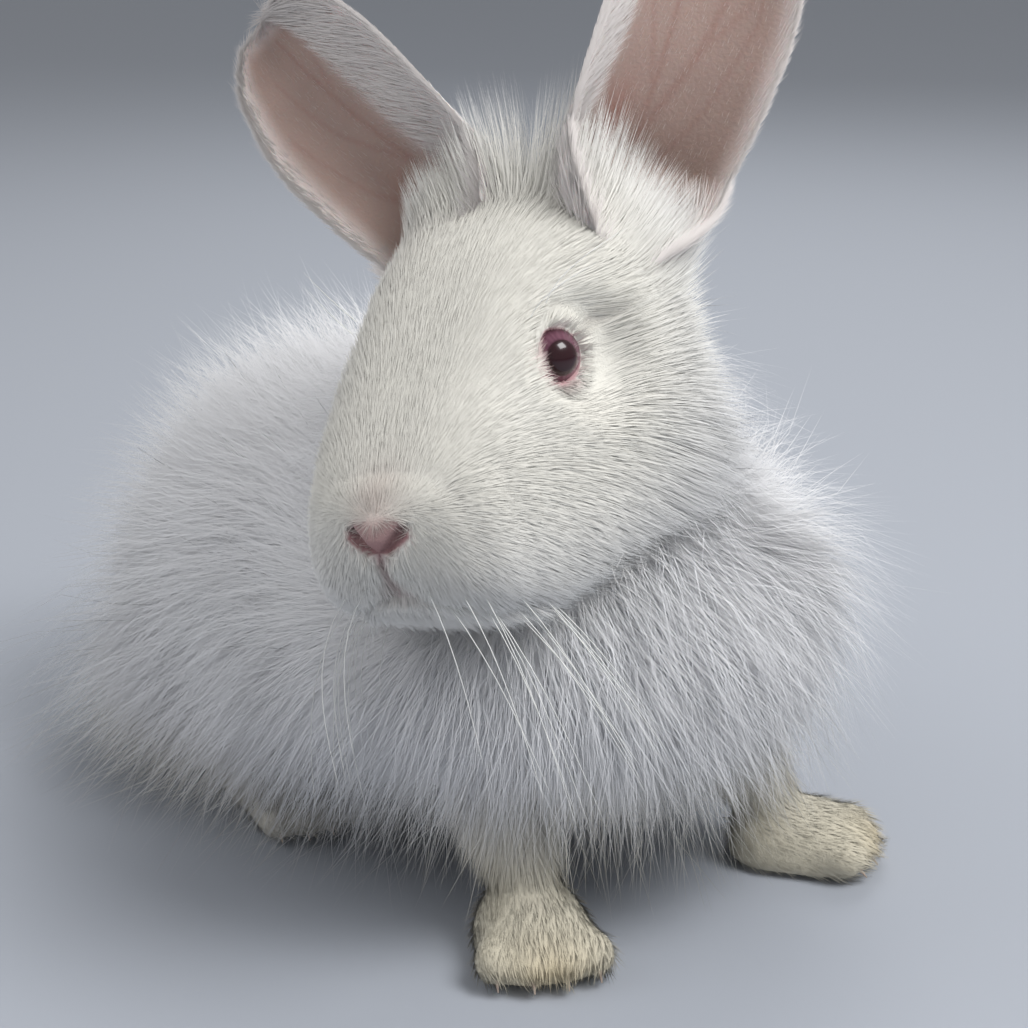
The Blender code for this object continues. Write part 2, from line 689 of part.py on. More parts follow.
def neck_holds(points, margin=0.0):
    """Which points lie inside the neck's core, or within a margin of it."""
    points = np.asarray(points, float)
    path = np.array(NECK_PATH)
    inside = np.zeros(points.shape[:-1], bool)
    for i in range(len(path) - 1):
        along = path[i + 1] - path[i]
        share = np.clip((points - path[i]) @ along / along.dot(along), 0, 1)
        radius = NECK_RADII[i] + share * (NECK_RADII[i + 1] - NECK_RADII[i]) + margin
        inside |= np.linalg.norm(points - path[i] - share[..., None] * along, axis=-1) < radius
    return inside


def head_holds(points, margin=0.0):
    """Which points lie inside the head, or within a margin of it."""
    place = np.array(head_matrix().inverted())
    x, y, z = np.moveaxis(np.asarray(points, float) @ place[:3, :3].T + place[:3, 3], -1, 0)
    at = np.clip(y, HEAD_Y[0], HEAD_Y[-1])
    width = through(HEAD_Y, HEAD_WIDTH, at) + margin
    top = through(HEAD_Y, HEAD_TOP, at) + margin
    floor = through(HEAD_Y, HEAD_FLOOR, at) - margin
    rise = (2 * z - top - floor) / (top - floor)
    inside = np.abs(x / width) ** HEAD_SQUARE + np.abs(rise) ** HEAD_SQUARE < 1
    return inside & (y > HEAD_Y[0] - margin) & (y < HEAD_Y[-1] + margin)


def tail_holds(points, margin=0.0):
    """Which points lie inside the tail's core, or within a margin of it."""
    away = (np.asarray(points, float) - TAIL_CENTRE) / (np.array(TAIL_RADII) + margin)
    return (away**2).sum(axis=-1) < 1


def core_normals(y, angle):
    """The ways out of the body's core at stations and angles."""
    small = 0.002
    y = np.clip(y, CORE_Y[0] + small, CORE_Y[-1] - small)
    along = core_points(y + small, angle) - core_points(y - small, angle)
    round_it = core_points(y, angle + 0.03) - core_points(y, angle - 0.03)
    return unit(np.cross(along, round_it))


def hang(normals, out=HANG_OUT):
    """The ways in which the wool's tips lie where the core faces along these normals."""
    normals = np.asarray(normals, float)
    ahead = np.clip(-normals[..., 1:2], 0, 1)
    above = np.clip((normals[..., 2:] - TOP_FACING[0]) / (TOP_FACING[1] - TOP_FACING[0]), 0, 1)
    above *= 1 - np.clip(FRONT_HANG * ahead, 0, 1)
    level = normals * (1, 1, 0)
    down = out * level - UP - HANG_BACK * (1 - ahead) * AHEAD
    lie = unit(above * (TOP_LIE + HANG_OUT * level) + (1 - above) * down)
    out_of_core = (lie * normals).sum(axis=-1, keepdims=True)
    return unit(lie + normals * np.maximum(LEAST_OUT - out_of_core, 0))


def lock_paths(roots, normals, lengths, sways, out=HANG_OUT, bend=LOCK_BENDS[0]):
    """Middle lines of locks, locks by rings by 3: each leaves the core, bends over to its lie, and sways."""
    share = np.array(LOCK_SHARE)
    middle = ((share[1:] + share[:-1]) / 2)[None, :, None]
    lie = hang(normals, out)
    first = unit(normals + bend * lie)
    across = np.cross(normals, lie)
    ways = (1 - middle) * first[:, None] + middle * lie[:, None]
    ways = unit(ways + middle * (sways[:, None] * across)[:, None])
    steps = np.diff(share)[None, :, None] * lengths[:, None, None] * ways
    start = (roots - normals * LOCK_SINK)[:, None]
    return start + np.concatenate([np.zeros_like(start), np.cumsum(steps, axis=1)], axis=1)


def lock_form(name, path, normal, width, thick, home):
    """One flat, tapered lock along its middle line: diamond rings, arched over, down to a point."""
    ways = unit(np.gradient(path, axis=0))
    over = unit(np.cross(ways, np.cross(normal, path[-1] - path[0])))
    across = np.cross(over, ways)
    points = []
    for i in range(len(path) - 1):
        wide = width * LOCK_TAPER[i] * across[i]
        high = thick * LOCK_THINNING[i] * over[i]
        points += [path[i] - wide - 0.5 * high, path[i] + high, path[i] + wide - 0.5 * high, path[i] - high]
    points.append(path[-1])
    faces = [(0, 3, 2, 1)]
    last = len(path) - 2
    for i in range(last):
        for j in range(4):
            k = (j + 1) % 4
            faces.append((i * 4 + j, i * 4 + k, i * 4 + 4 + k, i * 4 + 4 + j))
    for j in range(4):
        faces.append((last * 4 + j, last * 4 + (j + 1) % 4, last * 4 + 4))
    return mesh_object(name, points, faces, home)


def apart(places, spacing):
    """Which places to take, in their order, so that no two lie closer together than the spacing."""
    taken = []
    for i, place in enumerate(places):
        if not taken or np.linalg.norm(places[taken] - place, axis=1).min() > spacing:
            taken.append(i)
    return taken


def body_roots(rng):
    """Places over the body's core where locks grow, and the ways out of it."""
    share = (1 - np.cos(math.pi * rng.uniform(0.03, 0.97, LOCK_PLACES))) / 2
    y = CORE_Y[0] + share * (CORE_Y[-1] - CORE_Y[0])
    angle = rng.uniform(0, 2 * math.pi, LOCK_PLACES)
    roots = core_points(y, angle)
    normals = core_normals(y, angle)
    free = ~neck_holds(roots) & ~tail_holds(roots, ROOT_CLEAR) & (normals[:, 2] > BELLY_FACING)
    return roots[free], normals[free]


def neck_roots(rng):
    """Places over the neck's core where locks grow, and the ways out of it."""
    path = np.array(NECK_PATH)
    share = rng.uniform(0, len(path) - 1.001, LOCK_PLACES)
    index = share.astype(int)
    part = (share - index)[:, None]
    place = path[index] * (1 - part) + path[index + 1] * part
    radii = np.array(NECK_RADII)[:, None]
    radius = radii[index] * (1 - part) + radii[index + 1] * part
    way = unit(path[index + 1] - path[index])
    first = unit(np.cross(way, AHEAD))
    second = np.cross(way, first)
    turn = rng.uniform(0, 2 * math.pi, LOCK_PLACES)[:, None]
    normals = np.cos(turn) * first + np.sin(turn) * second
    roots = place + radius * normals
    free = ~core_holds(roots) & ~head_holds(roots, ROOT_CLEAR)
    return roots[free], normals[free]


def tail_roots(rng):
    """Places over the back of the tail's core where locks grow, and the ways out of it."""
    out = unit(rng.normal(size=(LOCK_PLACES // 4, 3)))
    out = out[out[:, 1] > 0.05]
    roots = np.array(TAIL_CENTRE) + out * TAIL_RADII
    return roots, unit(out / TAIL_RADII)


def grown_locks(rng, roots, normals, spacing, size, out, home):
    """Locks on the roots that lie far enough apart. One that would meet the head lies flatter, or is left out."""
    taken = apart(roots, spacing)
    roots = roots[taken]
    normals = normals[taken]
    count = len(taken)
    lengths = LOCK_LENGTH * size * rng.uniform(0.86, 1.12, count)
    widths = LOCK_WIDTH * size * rng.uniform(0.84, 1.12, count)
    sways = rng.uniform(-LOCK_SWAY, LOCK_SWAY, count)
    thick = LOCK_THICK * (0.4 + 0.6 * size)
    left = np.ones(count, bool)
    forms = []
    for bend in LOCK_BENDS:
        paths = lock_paths(roots, normals, lengths, sways, out, bend)
        paths[..., 2] = np.maximum(paths[..., 2], LOCK_FLOOR + thick * np.array(LOCK_THINNING))
        clear = left & ~head_holds(paths[:, 2:], HEAD_CLEAR).any(axis=1)
        left &= ~clear
        for i in np.flatnonzero(clear):
            forms.append(lock_form("lock", paths[i], normals[i], widths[i], thick, home))
    print(len(forms), "locks of", count)
    return forms


def coat_locks(home):
    """All the coat's locks, as closed forms that cross one another and the core."""
    rng = np.random.default_rng(COAT_SEED)
    neck_places, neck_ways = neck_roots(rng)
    body_places, body_ways = body_roots(rng)
    keep = LOCK_SPACING * LOCK_KEEP
    free = [np.linalg.norm(neck_places - place, axis=1).min() > keep for place in body_places]
    forms = grown_locks(rng, neck_places, neck_ways, LOCK_SPACING, 1.0, RUFF_OUT, home)
    forms += grown_locks(rng, body_places[free], body_ways[free], LOCK_SPACING, 1.0, HANG_OUT, home)
    forms += grown_locks(rng, *tail_roots(rng), TAIL_SPACING, TAIL_LOCK, HANG_OUT, home)
    return forms


def seam_solid(name, y, home, grow=0.0):
    """What lies behind a seam: the core from station y back, and the locks rooted there.

    Its front face leaves the core as the locks do, so it passes between those on either side of it.
    """
    angles = np.linspace(0, 2 * math.pi, SEAM_SIDES, endpoint=False)
    roots = core_points(y, angles)
    normals = core_normals(np.full(SEAM_SIDES, y), angles)
    paths = lock_paths(roots, normals, np.full(SEAM_SIDES, LOCK_LENGTH), np.zeros(SEAM_SIDES))
    middle = roots.mean(axis=0)
    far = paths[:, -1] + SEAM_REACH * unit(hang(normals) + normals)
    rings = [middle + SEAM_MIDDLE * (paths[:, 0] - middle)] + [paths[:, i] for i in range(paths.shape[1])] + [far]
    rings = np.array(rings)
    along = np.gradient(rings, axis=0)
    round_it = np.roll(rings, -1, axis=1) - np.roll(rings, 1, axis=1)
    rings += grow * unit(np.cross(along, round_it))
    back = middle + SEAM_FLARE * (rings[-1] - middle)
    back[:, 1] = y + SEAM_BACK + grow
    return loft(name, np.concatenate([rings, back[None]]), home)


def part_off(source, name, cutters):
    """Parts source in two by a cutter: returns what lies inside it, and leaves the rest in source."""
    inner, outer = cutters
    part = copy_of(source, name)
    combine(part, "INTERSECT", [inner])
    combine(source, "DIFFERENCE", [outer])
    return part


def side_block(side, home, grow):
    x = side * (HAUNCH_SEAM + BLOCK_SIZE / 2 - grow)
    return slab("side_block", (x, 0.0, 0.0), (BLOCK_SIZE, BLOCK_SIZE * 2, BLOCK_SIZE * 2), home)


def ground_block(height, home):
    """All that lies under a height over the floor."""
    size = (BLOCK_SIZE * 2, BLOCK_SIZE * 2, BLOCK_SIZE)
    return slab("ground_block", (0.0, 0.0, height - BLOCK_SIZE / 2), size, home)


def tail_block(home, grow):
    radii = tuple(r + grow for r in TAIL_SEAM)
    return ellipsoid("tail_block", TAIL_SEAM_CENTRE, radii, home, 16, 10)


def wool(home):
    """The whole coat as one closed form, cut clear of the head, legs, feet and floor."""
    coat = core_form("coat", home)
    combine(coat, "UNION", [neck_form("neck_core", home), tail_form("tail_core", home)] + coat_locks(home))
    cut = [head_form("head_cutter", home, GAP)]
    for side, side_name in ((1, "left"), (-1, "right")):
        cut.append(foreleg(side_name, "arm_cutter", home, GAP))
        cut.append(front_paw(side_name, "paw_cutter", home, GAP))
        cut.append(hind_foot(side, "foot_cutter", home, GAP))
    cut.append(ground_block(WOOL_FLOOR, home))
    combine(coat, "DIFFERENCE", cut)
    return coat


def parted_wool(coat, home):
    """The coat's nodes: chest with the neck, torso, haunches, rump and tail."""
    tail = part_off(coat, "tail", [tail_block(home, 0.0), tail_block(home, GAP)])
    rear = part_off(coat, "rump", [seam_solid("seam", TORSO_SEAM, home), seam_solid("seam", TORSO_SEAM, home, GAP)])
    body = part_off(coat, "torso", [seam_solid("seam", CHEST_SEAM, home), seam_solid("seam", CHEST_SEAM, home, GAP)])
    coat.name = "chest"
    parts = []
    for side, side_name in ((1, "left"), (-1, "right")):
        blocks = [side_block(side, home, 0.0), side_block(side, home, GAP)]
        parts.append(part_off(rear, "haunch_" + side_name, blocks))
    return [keep_largest(part) for part in parts + [tail, rear, body, coat]]


def floor_cut(target, home):
    """Cuts the sole flat at the floor."""
    return keep_largest(combine(target, "DIFFERENCE", [ground_block(0.0, home)]))


def material(name, colour, roughness):
    made = bpy.data.materials.new(name)
    made.use_nodes = True
    shader = made.node_tree.nodes["Principled BSDF"]
    shader.inputs["Base Color"].default_value = colour
    shader.inputs["Roughness"].default_value = roughness
    shader.inputs["Metallic"].default_value = 0.0
    return made


def finish(part, colour, roughness):
    part.data.materials.clear()
    part.data.materials.append(material(part.name, colour, roughness))
    part.data.shade_smooth()
    part.data.set_sharp_from_angle(angle=math.radians(40))


def set_down(parts):
    """Moves the whole animal so that the middle of its box lies over the origin."""
    points = np.vstack([[v.co for v in part.data.vertices] for part in parts])
    middle = (points.min(axis=0) + points.max(axis=0)) / 2
    for part in parts:
        part.data.transform(Matrix.Translation((-middle[0], -middle[1], 0.0)))


def main():
    clear_scene()
    home = collection("angora_rabbit")
    parts = []
    for part in parted_wool(wool(home), home):
        finish(part, WOOL_WHITE, 0.9)
        parts.append(part)
    parts.append(head(home))
    finish(parts[-1], FUR_WHITE, 0.8)
    for side, side_name in ((1, "left"), (-1, "right")):
        parts.append(ear(side, "ear_" + side_name, home))
        finish(parts[-1], EAR_PINK, 0.7)
        parts.append(eye(side, "eye_" + side_name, home))
        finish(parts[-1], EYE_RED, 0.1)
        arm = floor_cut(foreleg(side_name, "foreleg_" + side_name, home), home)
        paw = front_paw(side_name, "front_paw_" + side_name, home)
        combine(paw, "DIFFERENCE", [foreleg(side_name, "arm_cutter", home, GAP)])
        foot = hind_foot(side, "hind_foot_" + side_name, home)
        for limb in (arm, floor_cut(paw, home), floor_cut(foot, home)):
            finish(limb, PAW_CREAM, 0.8)
            parts.append(limb)
    set_down(parts)


main()
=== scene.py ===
"""A white angora rabbit at life size, still, on its front paws, with its head turned to its right.

The animal faces -Y, its left side is +X and the floor is z = 0. Lengths are metres.
"""

import math

import bpy
import numpy as np
from mathutils import Matrix, Vector


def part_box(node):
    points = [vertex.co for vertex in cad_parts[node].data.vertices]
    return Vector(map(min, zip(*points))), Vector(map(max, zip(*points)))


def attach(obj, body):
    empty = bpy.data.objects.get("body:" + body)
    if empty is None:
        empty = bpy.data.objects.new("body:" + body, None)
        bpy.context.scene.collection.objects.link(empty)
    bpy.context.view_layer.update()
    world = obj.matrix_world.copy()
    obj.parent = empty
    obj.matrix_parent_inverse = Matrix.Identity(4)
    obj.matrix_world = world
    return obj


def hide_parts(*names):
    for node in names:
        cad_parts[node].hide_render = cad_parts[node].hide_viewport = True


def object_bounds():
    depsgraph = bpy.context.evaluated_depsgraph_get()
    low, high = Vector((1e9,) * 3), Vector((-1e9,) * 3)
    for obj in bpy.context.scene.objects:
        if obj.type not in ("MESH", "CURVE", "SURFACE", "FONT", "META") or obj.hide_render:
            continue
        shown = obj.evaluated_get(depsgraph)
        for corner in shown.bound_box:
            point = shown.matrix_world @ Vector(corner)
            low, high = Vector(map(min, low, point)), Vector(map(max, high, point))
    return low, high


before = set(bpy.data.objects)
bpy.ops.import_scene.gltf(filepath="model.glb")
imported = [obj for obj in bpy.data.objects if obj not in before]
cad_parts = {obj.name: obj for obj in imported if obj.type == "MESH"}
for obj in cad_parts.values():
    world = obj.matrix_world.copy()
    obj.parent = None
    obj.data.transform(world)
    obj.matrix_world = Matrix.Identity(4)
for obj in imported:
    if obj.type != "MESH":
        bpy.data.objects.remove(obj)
cad_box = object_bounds()


# Head: skull, muzzle and cheeks under the face fur, with lids, nose, cleft and mouth formed in the
# skin. It is skin over bone, and it is the front end of the animal's one skin.

HEAD_CENTRE = (-0.058, 0.029, 0.180)
HEAD_TURN = math.radians(-66)
HEAD_ROLL = math.radians(-11)
HEAD_NOD = math.radians(7.5)
HEAD_Y = (-0.0610, -0.0590, -0.0535, -0.0430, -0.0280, -0.0100, 0.0100, 0.0280, 0.0430, 0.0550, 0.0610)
HEAD_WIDTH = (0.0060, 0.0160, 0.0272, 0.0350, 0.0400, 0.0432, 0.0458, 0.0485, 0.0470, 0.0345, 0.0110)
HEAD_TOP = (-0.0265, -0.0190, -0.0120, -0.0025, 0.0085, 0.0220, 0.0330, 0.0380, 0.0355, 0.0220, 0.0000)
HEAD_FLOOR = (-0.038, -0.0455, -0.053, -0.0605, -0.065, -0.067, -0.066, -0.062, -0.053, -0.036, -0.014)
HEAD_SQUARE = 3.0
CHEEK_DROP = 0.08
PAD_PLACE = (0.0175, -0.0490, -0.0400)
PAD_SWELL = 0.0045
PAD_SPREAD = 0.0110
PAD_WAY = (0.75, -0.45, -0.30)
EYE_RADIUS = 0.0090
EYE_SIDE = 0.0265
EYE_LOOK = (0.94, -0.30, 0.12)
ORBIT_PLACE = (0.0400, -0.0010, 0.0000)
ORBIT_DENT = 0.0098
ORBIT_SPREAD = 0.0112
LID_OPEN = 0.0076
LID_NARROW = (0.04, 0.06)
LID_EDGE = 0.0008
LID_SHIFT = 0.0019
LID_BLEND = (0.0004, 0.0085)
LID_FOLD = ((-0.0088, 0.0022), (-0.0135, 0.0048), (-0.0200, 0.0056))
LID_FOLD_DEPTH = 0.0009
LID_FOLD_WIDTH = 0.0024
NOSE_PLACE = (0.0, -0.0590, -0.0285)
NOSE_SWELL = 0.0024
NOSE_SPREAD = 0.0075
NOSE_LEATHER = (0.0105, 0.0080, 0.0062)
NOSTRIL = ((0.0018, -0.0634, -0.0330), (0.0050, -0.0628, -0.0296), (0.0086, -0.0606, -0.0262))
CLEFT = ((0.0, -0.0636, -0.0325), (0.0, -0.0622, -0.0380), (0.0, -0.0608, -0.0425), (0.0, -0.0592, -0.0465))
CLEFT_GROOVE = (0.0020, 0.0009)
NOSTRIL_GROOVE = (0.0032, 0.0013)
MOUTH_GROOVE = (0.0022, 0.0012)
MOUTH_PATH = ((-0.0588, -92), (-0.0575, -80), (-0.0540, -69), (-0.0485, -60), (-0.0425, -53))
FACE_FUR_DEPTH = 0.0026
AHEAD = np.array([0.0, -1.0, 0.0])
UP = np.array([0.0, 0.0, 1.0])


def unit(vectors):
    """Each vector divided by its length."""
    vectors = np.asarray(vectors, float)
    return vectors / np.maximum(np.linalg.norm(vectors, axis=-1, keepdims=True), 1e-12)


def through(stations, values, at):
    """Cubic curve through values at the stations, with its neighbours' slope at each, read at places."""
    stations = np.asarray(stations, float)
    values = np.asarray(values, float)
    at = np.asarray(at, float)
    slopes = np.gradient(values, stations)
    index = np.clip(np.searchsorted(stations, at, side="right") - 1, 0, len(stations) - 2)
    step = stations[index + 1] - stations[index]
    t = (at - stations[index]) / step
    start = values[index] * (2 * t**3 - 3 * t**2 + 1) + slopes[index] * step * (t**3 - 2 * t**2 + t)
    end = values[index + 1] * (3 * t**2 - 2 * t**3) + slopes[index + 1] * step * (t**3 - t**2)
    return start + end


def smooth_step(value, low, high):
    """0 below low and 1 above high, with an even S curve between them."""
    t = np.clip((value - low) / (high - low), 0, 1)
    return t * t * (3 - 2 * t)


def bell(distance, width):
    """1 on a line and fading on both sides of it as a bell of a given width."""
    return np.exp(-(distance / width) ** 2)


head_turned = Matrix.Rotation(HEAD_TURN, 3, "Z")
head_turned = head_turned @ Matrix.Rotation(HEAD_ROLL, 3, "Y") @ Matrix.Rotation(HEAD_NOD, 3, "X")
head_axes = np.array(head_turned)
eye_box = np.array(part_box("eye_left"))
shift = eye_box.mean(axis=0) - head_axes @ (EYE_SIDE, 0, 0) - HEAD_CENTRE


def head_to_world(points):
    """Points of the head's own frame turned, rolled and nodded into place."""
    return np.asarray(points, float) @ head_axes.T + HEAD_CENTRE + shift


def world_to_head(points):
    """Places in the world as the head's own frame gives them."""
    return (np.asarray(points, float) - HEAD_CENTRE - shift) @ head_axes


def distance_to(path, points):
    """Shortest distance from each point to a path of straight stretches."""
    path = np.asarray(path, float)
    nearest = np.full(points.shape[:-1], np.inf)
    for start, end in zip(path[:-1], path[1:]):
        along = end - start
        share = np.clip((points - start) @ along / (along @ along), 0, 1)
        nearest = np.minimum(nearest, np.linalg.norm(points - start - share[..., None] * along, axis=-1))
    return nearest


def head_form(y, angle, grow=0.0):
    """Head surface: superellipse sections with given width, top and floor, plus pads, minus the orbits."""
    y, angle = np.broadcast_arrays(np.asarray(y, float), np.asarray(angle, float))
    at = np.clip(y, HEAD_Y[0], HEAD_Y[-1])
    width = through(HEAD_Y, HEAD_WIDTH, at) + grow
    top = through(HEAD_Y, HEAD_TOP, at) + grow
    floor = through(HEAD_Y, HEAD_FLOOR, at) - grow
    rise = np.sign(np.sin(angle)) * np.abs(np.sin(angle)) ** (2 / HEAD_SQUARE)
    side = np.sign(np.cos(angle)) * np.abs(np.cos(angle)) ** (2 / HEAD_SQUARE)
    height = (top + floor) / 2 + (top - floor) / 2 * rise
    points = np.stack([width * side * (1 - CHEEK_DROP * rise), y, height], -1)
    moved = np.zeros_like(points)
    for mirror in (-1, 1):
        pad = np.array(PAD_PLACE) * (mirror, 1, 1)
        near = np.exp(-((points - pad) ** 2).sum(-1) / (2 * PAD_SPREAD**2))
        moved += PAD_SWELL * near[..., None] * unit(np.array(PAD_WAY) * (mirror, 1, 1))
        orbit = np.array(ORBIT_PLACE) * (mirror, 1, 1)
        near = np.exp(-(((points - orbit) ** 2).sum(-1) / (2 * ORBIT_SPREAD**2)) ** 2)
        moved -= ORBIT_DENT * near[..., None] * np.array([mirror, 0.0, 0.0])
    near = np.exp(-((points - NOSE_PLACE) ** 2).sum(-1) / (2 * NOSE_SPREAD**2))
    moved += NOSE_SWELL * near[..., None] * unit((0.0, -0.9, 0.1))
    return points + moved


def eye_axes(mirror):
    """One eye's middle, and the ways of its look, along its lids and up over it, in the head's frame."""
    look = unit((mirror * EYE_LOOK[0], EYE_LOOK[1], EYE_LOOK[2]))
    along = unit(np.cross(look, UP)) * mirror
    over = np.cross(along, look) * mirror
    return np.array([mirror * EYE_SIDE, 0.0, 0.0]), look, along, over


def lid_plane(points, mirror):
    """Places as one eye sees them: toward the nose, up over the eye, and out along its look."""
    centre, look, along, over = eye_axes(mirror)
    away = points - centre
    return away @ along, away @ over, away @ look


def by_lids(points, mirror):
    """How far points stand out along one eye's look, how far they lie past its opening, and the opening.

    The opening is nearly round, a little narrower than high, and set toward the nose.
    """
    across, height, out = lid_plane(points, mirror)
    across = across - LID_SHIFT
    turn = np.arctan2(height, across)
    front, rear = np.maximum(np.cos(turn), 0), np.maximum(-np.cos(turn), 0)
    opening = LID_OPEN * (1 - LID_NARROW[0] * front**2 - LID_NARROW[1] * rear**2)
    return out, np.hypot(across, height) - opening, opening


def mouth_line(mirror):
    """The mouth's line on one side, from the front of the lips to its corner."""
    stations = np.array([y for y, _ in MOUTH_PATH])
    angles = np.radians([a for _, a in MOUTH_PATH])
    points = head_form(stations, angles, -FACE_FUR_DEPTH)
    return points * (mirror, 1, 1)


def face_details(points):
    """Grooves of nostrils, cleft and mouth as bells across their lines, and the lids round both eyes.

    Inside an opening the skin drops into the ball. At its edge it stands just off the ball, and from
    there it runs out to the face on an even S curve.
    """
    inward = unit(np.array([0.0, 0.010, -0.022]) - points)
    grooves = [(CLEFT, *CLEFT_GROOVE)]
    for mirror in (-1, 1):
        grooves.append((np.array(NOSTRIL) * (mirror, 1, 1), *NOSTRIL_GROOVE))
        grooves.append((mouth_line(mirror), *MOUTH_GROOVE))
    depth = np.zeros(points.shape[:-1])
    for path, deep, wide in grooves:
        depth = np.maximum(depth, deep * bell(distance_to(path, points), wide))
    points = points + inward * depth[..., None]
    for mirror in (-1, 1):
        look = eye_axes(mirror)[1]
        out, past, opening = by_lids(points, mirror)
        around = past + opening
        sunk = np.sqrt(np.maximum((0.86 * EYE_RADIUS) ** 2 - around**2, 1e-6))
        edge = np.sqrt((EYE_RADIUS + LID_EDGE) ** 2 - opening**2)
        share = smooth_step(past, *LID_BLEND)
        height = np.where(past < 0, sunk, edge * (1 - share) + out * share)
        fold = distance_to(LID_FOLD, np.stack(lid_plane(points, mirror)[:2], -1))
        height = height - LID_FOLD_DEPTH * bell(fold, LID_FOLD_WIDTH) * (past > 0)
        near = (out > 0) & (past < 0.02)
        points = points + np.where(near, height - out, 0.0)[..., None] * look
    return points


def head_grid(stations, sides):
    """Head skin on a grid that is closer set toward the nose, in the head's own frame."""
    share = np.linspace(0, 1, stations)
    y = HEAD_Y[0] + (HEAD_Y[-1] - HEAD_Y[0]) * (0.55 * share**2 + 0.45 * share)
    turn = np.linspace(0, 2 * math.pi, sides, endpoint=False)
    angle = turn - 0.20 * np.sin(2 * turn)
    return head_form(y[:, None], angle[None, :], -FACE_FUR_DEPTH)


def ring_faces(rings, sides):
    """Triangles between rings that follow one another, with a fan to a middle point at each end."""
    i = np.arange(rings - 1)[:, None] * sides
    j = np.arange(sides)[None, :]
    k = (j + 1) % sides
    low, high = i + j, i + sides + j
    low_next, high_next = i + k, i + sides + k
    walls = np.concatenate([
        np.stack([low, low_next, high_next], -1).reshape(-1, 3),
        np.stack([low, high_next, high], -1).reshape(-1, 3),
    ])
    j, k = j[0], k[0]
    first = np.full(sides, rings * sides)
    start = np.stack([first, k, j], -1)
    end = np.stack([first + 1, (rings - 1) * sides + j, (rings - 1) * sides + k], -1)
    return np.concatenate([walls, start, end])


def closed_rings(rings):
    """Points and triangles of a closed form through rings, ends closed to their middles, faces out."""
    rings = np.asarray(rings, float)
    points = np.concatenate([rings.reshape(-1, 3), [rings[0].mean(0), rings[-1].mean(0)]])
    faces = ring_faces(*rings.shape[:2])
    corners = points[faces]
    volume = (corners[:, 0] * np.cross(corners[:, 1], corners[:, 2])).sum()
    return points, faces if volume > 0 else faces[:, ::-1]


def piece(name, points, faces, bake=None, tint=None, facing=None):
    """A mesh object from points and triangles, with bake map, tint and soft normals given by point."""
    mesh = bpy.data.meshes.new(name)
    mesh.vertices.add(len(points))
    mesh.vertices.foreach_set("co", np.asarray(points, np.float32).ravel())
    mesh.loops.add(faces.size)
    mesh.loops.foreach_set("vertex_index", np.asarray(faces, np.int32).ravel())
    mesh.polygons.add(len(faces))
    mesh.polygons.foreach_set("loop_start", np.arange(0, faces.size, 3, dtype=np.int32))
    mesh.update(calc_edges=True)
    if bake is not None:
        bake_map = mesh.uv_layers.new(name="OFBake")
        bake_map.data.foreach_set("uv", np.asarray(bake, np.float32)[faces].ravel())
    if tint is not None:
        shade = mesh.attributes.new("tint", "FLOAT_COLOR", "POINT")
        full = np.concatenate([tint, np.ones((len(tint), 1))], axis=1)
        shade.data.foreach_set("color", full.astype(np.float32).ravel())
    mesh.shade_smooth()
    if facing is not None:
        mesh.normals_split_custom_set_from_vertices(facing)
    made = bpy.data.objects.new(name, mesh)
    bpy.context.scene.collection.objects.link(made)
    return made


head_skin = face_details(head_grid(190, 300))
head_points, head_faces = closed_rings(head_to_world(head_skin))


# Trunk, neck, legs, feet and tail: the rest of the skin. Each form is a row of sections, and one
# voxel surface is drawn over all of them, so that legs, toes and neck run into the body with no seam.

CORE_Y = (-0.004, 0.004, 0.022, 0.050, 0.100, 0.150, 0.200, 0.235, 0.256, 0.264)
CORE_WIDTH = (0.022, 0.048, 0.073, 0.084, 0.080, 0.078, 0.077, 0.063, 0.037, 0.014)
CORE_TOP = (0.100, 0.118, 0.132, 0.141, 0.145, 0.146, 0.139, 0.120, 0.096, 0.078)
CORE_FLOOR = (0.060, 0.050, 0.046, 0.044, 0.034, 0.027, 0.026, 0.028, 0.040, 0.056)
CORE_WAIST = (0.084, 0.088, 0.090, 0.088, 0.072, 0.058, 0.054, 0.056, 0.062, 0.066)
CORE_SQUARE = (2.0, 1.9, 1.9, 2.0, 2.5, 3.2, 3.2, 3.0, 2.6, 2.4)
CORE_POINTED = 1.75
NECK_PATH = ((-0.026, 0.046, 0.172), (-0.012, 0.056, 0.150), (0.0, 0.072, 0.120), (0.0, 0.085, 0.095))
NECK_RADII = (0.026, 0.040, 0.054, 0.048)
TAIL_CENTRE = (0.0, 0.268, 0.070)
TAIL_RADII = (0.020, 0.024, 0.030)
WOOL_SINK = 0.003
PAW_PLACE = {"left": (0.060, 0.014), "right": (-0.050, 0.008)}
PAW_TURN = {"left": math.radians(44), "right": math.radians(-24)}
PAW_LENGTH = 0.052
PAW_WIDTH = 0.040
PAW_HEIGHT = 0.024
ELBOW = (0.040, 0.040, 0.085)
WRIST_HEIGHT = 0.017
WRIST_BACK = 0.009
ARM_RADII = (0.024, 0.020, 0.0165, 0.0150, 0.0110)
FOOT_PLACE = (0.056, 0.165)
FOOT_TURN = math.radians(7)
FOOT_LENGTH = 0.104
FOOT_WIDTH = 0.034
FOOT_HEIGHT = 0.026
TOES = 4
FOOT_FUR_DEPTH = 0.0012
SKIN_VOXEL = 0.0024


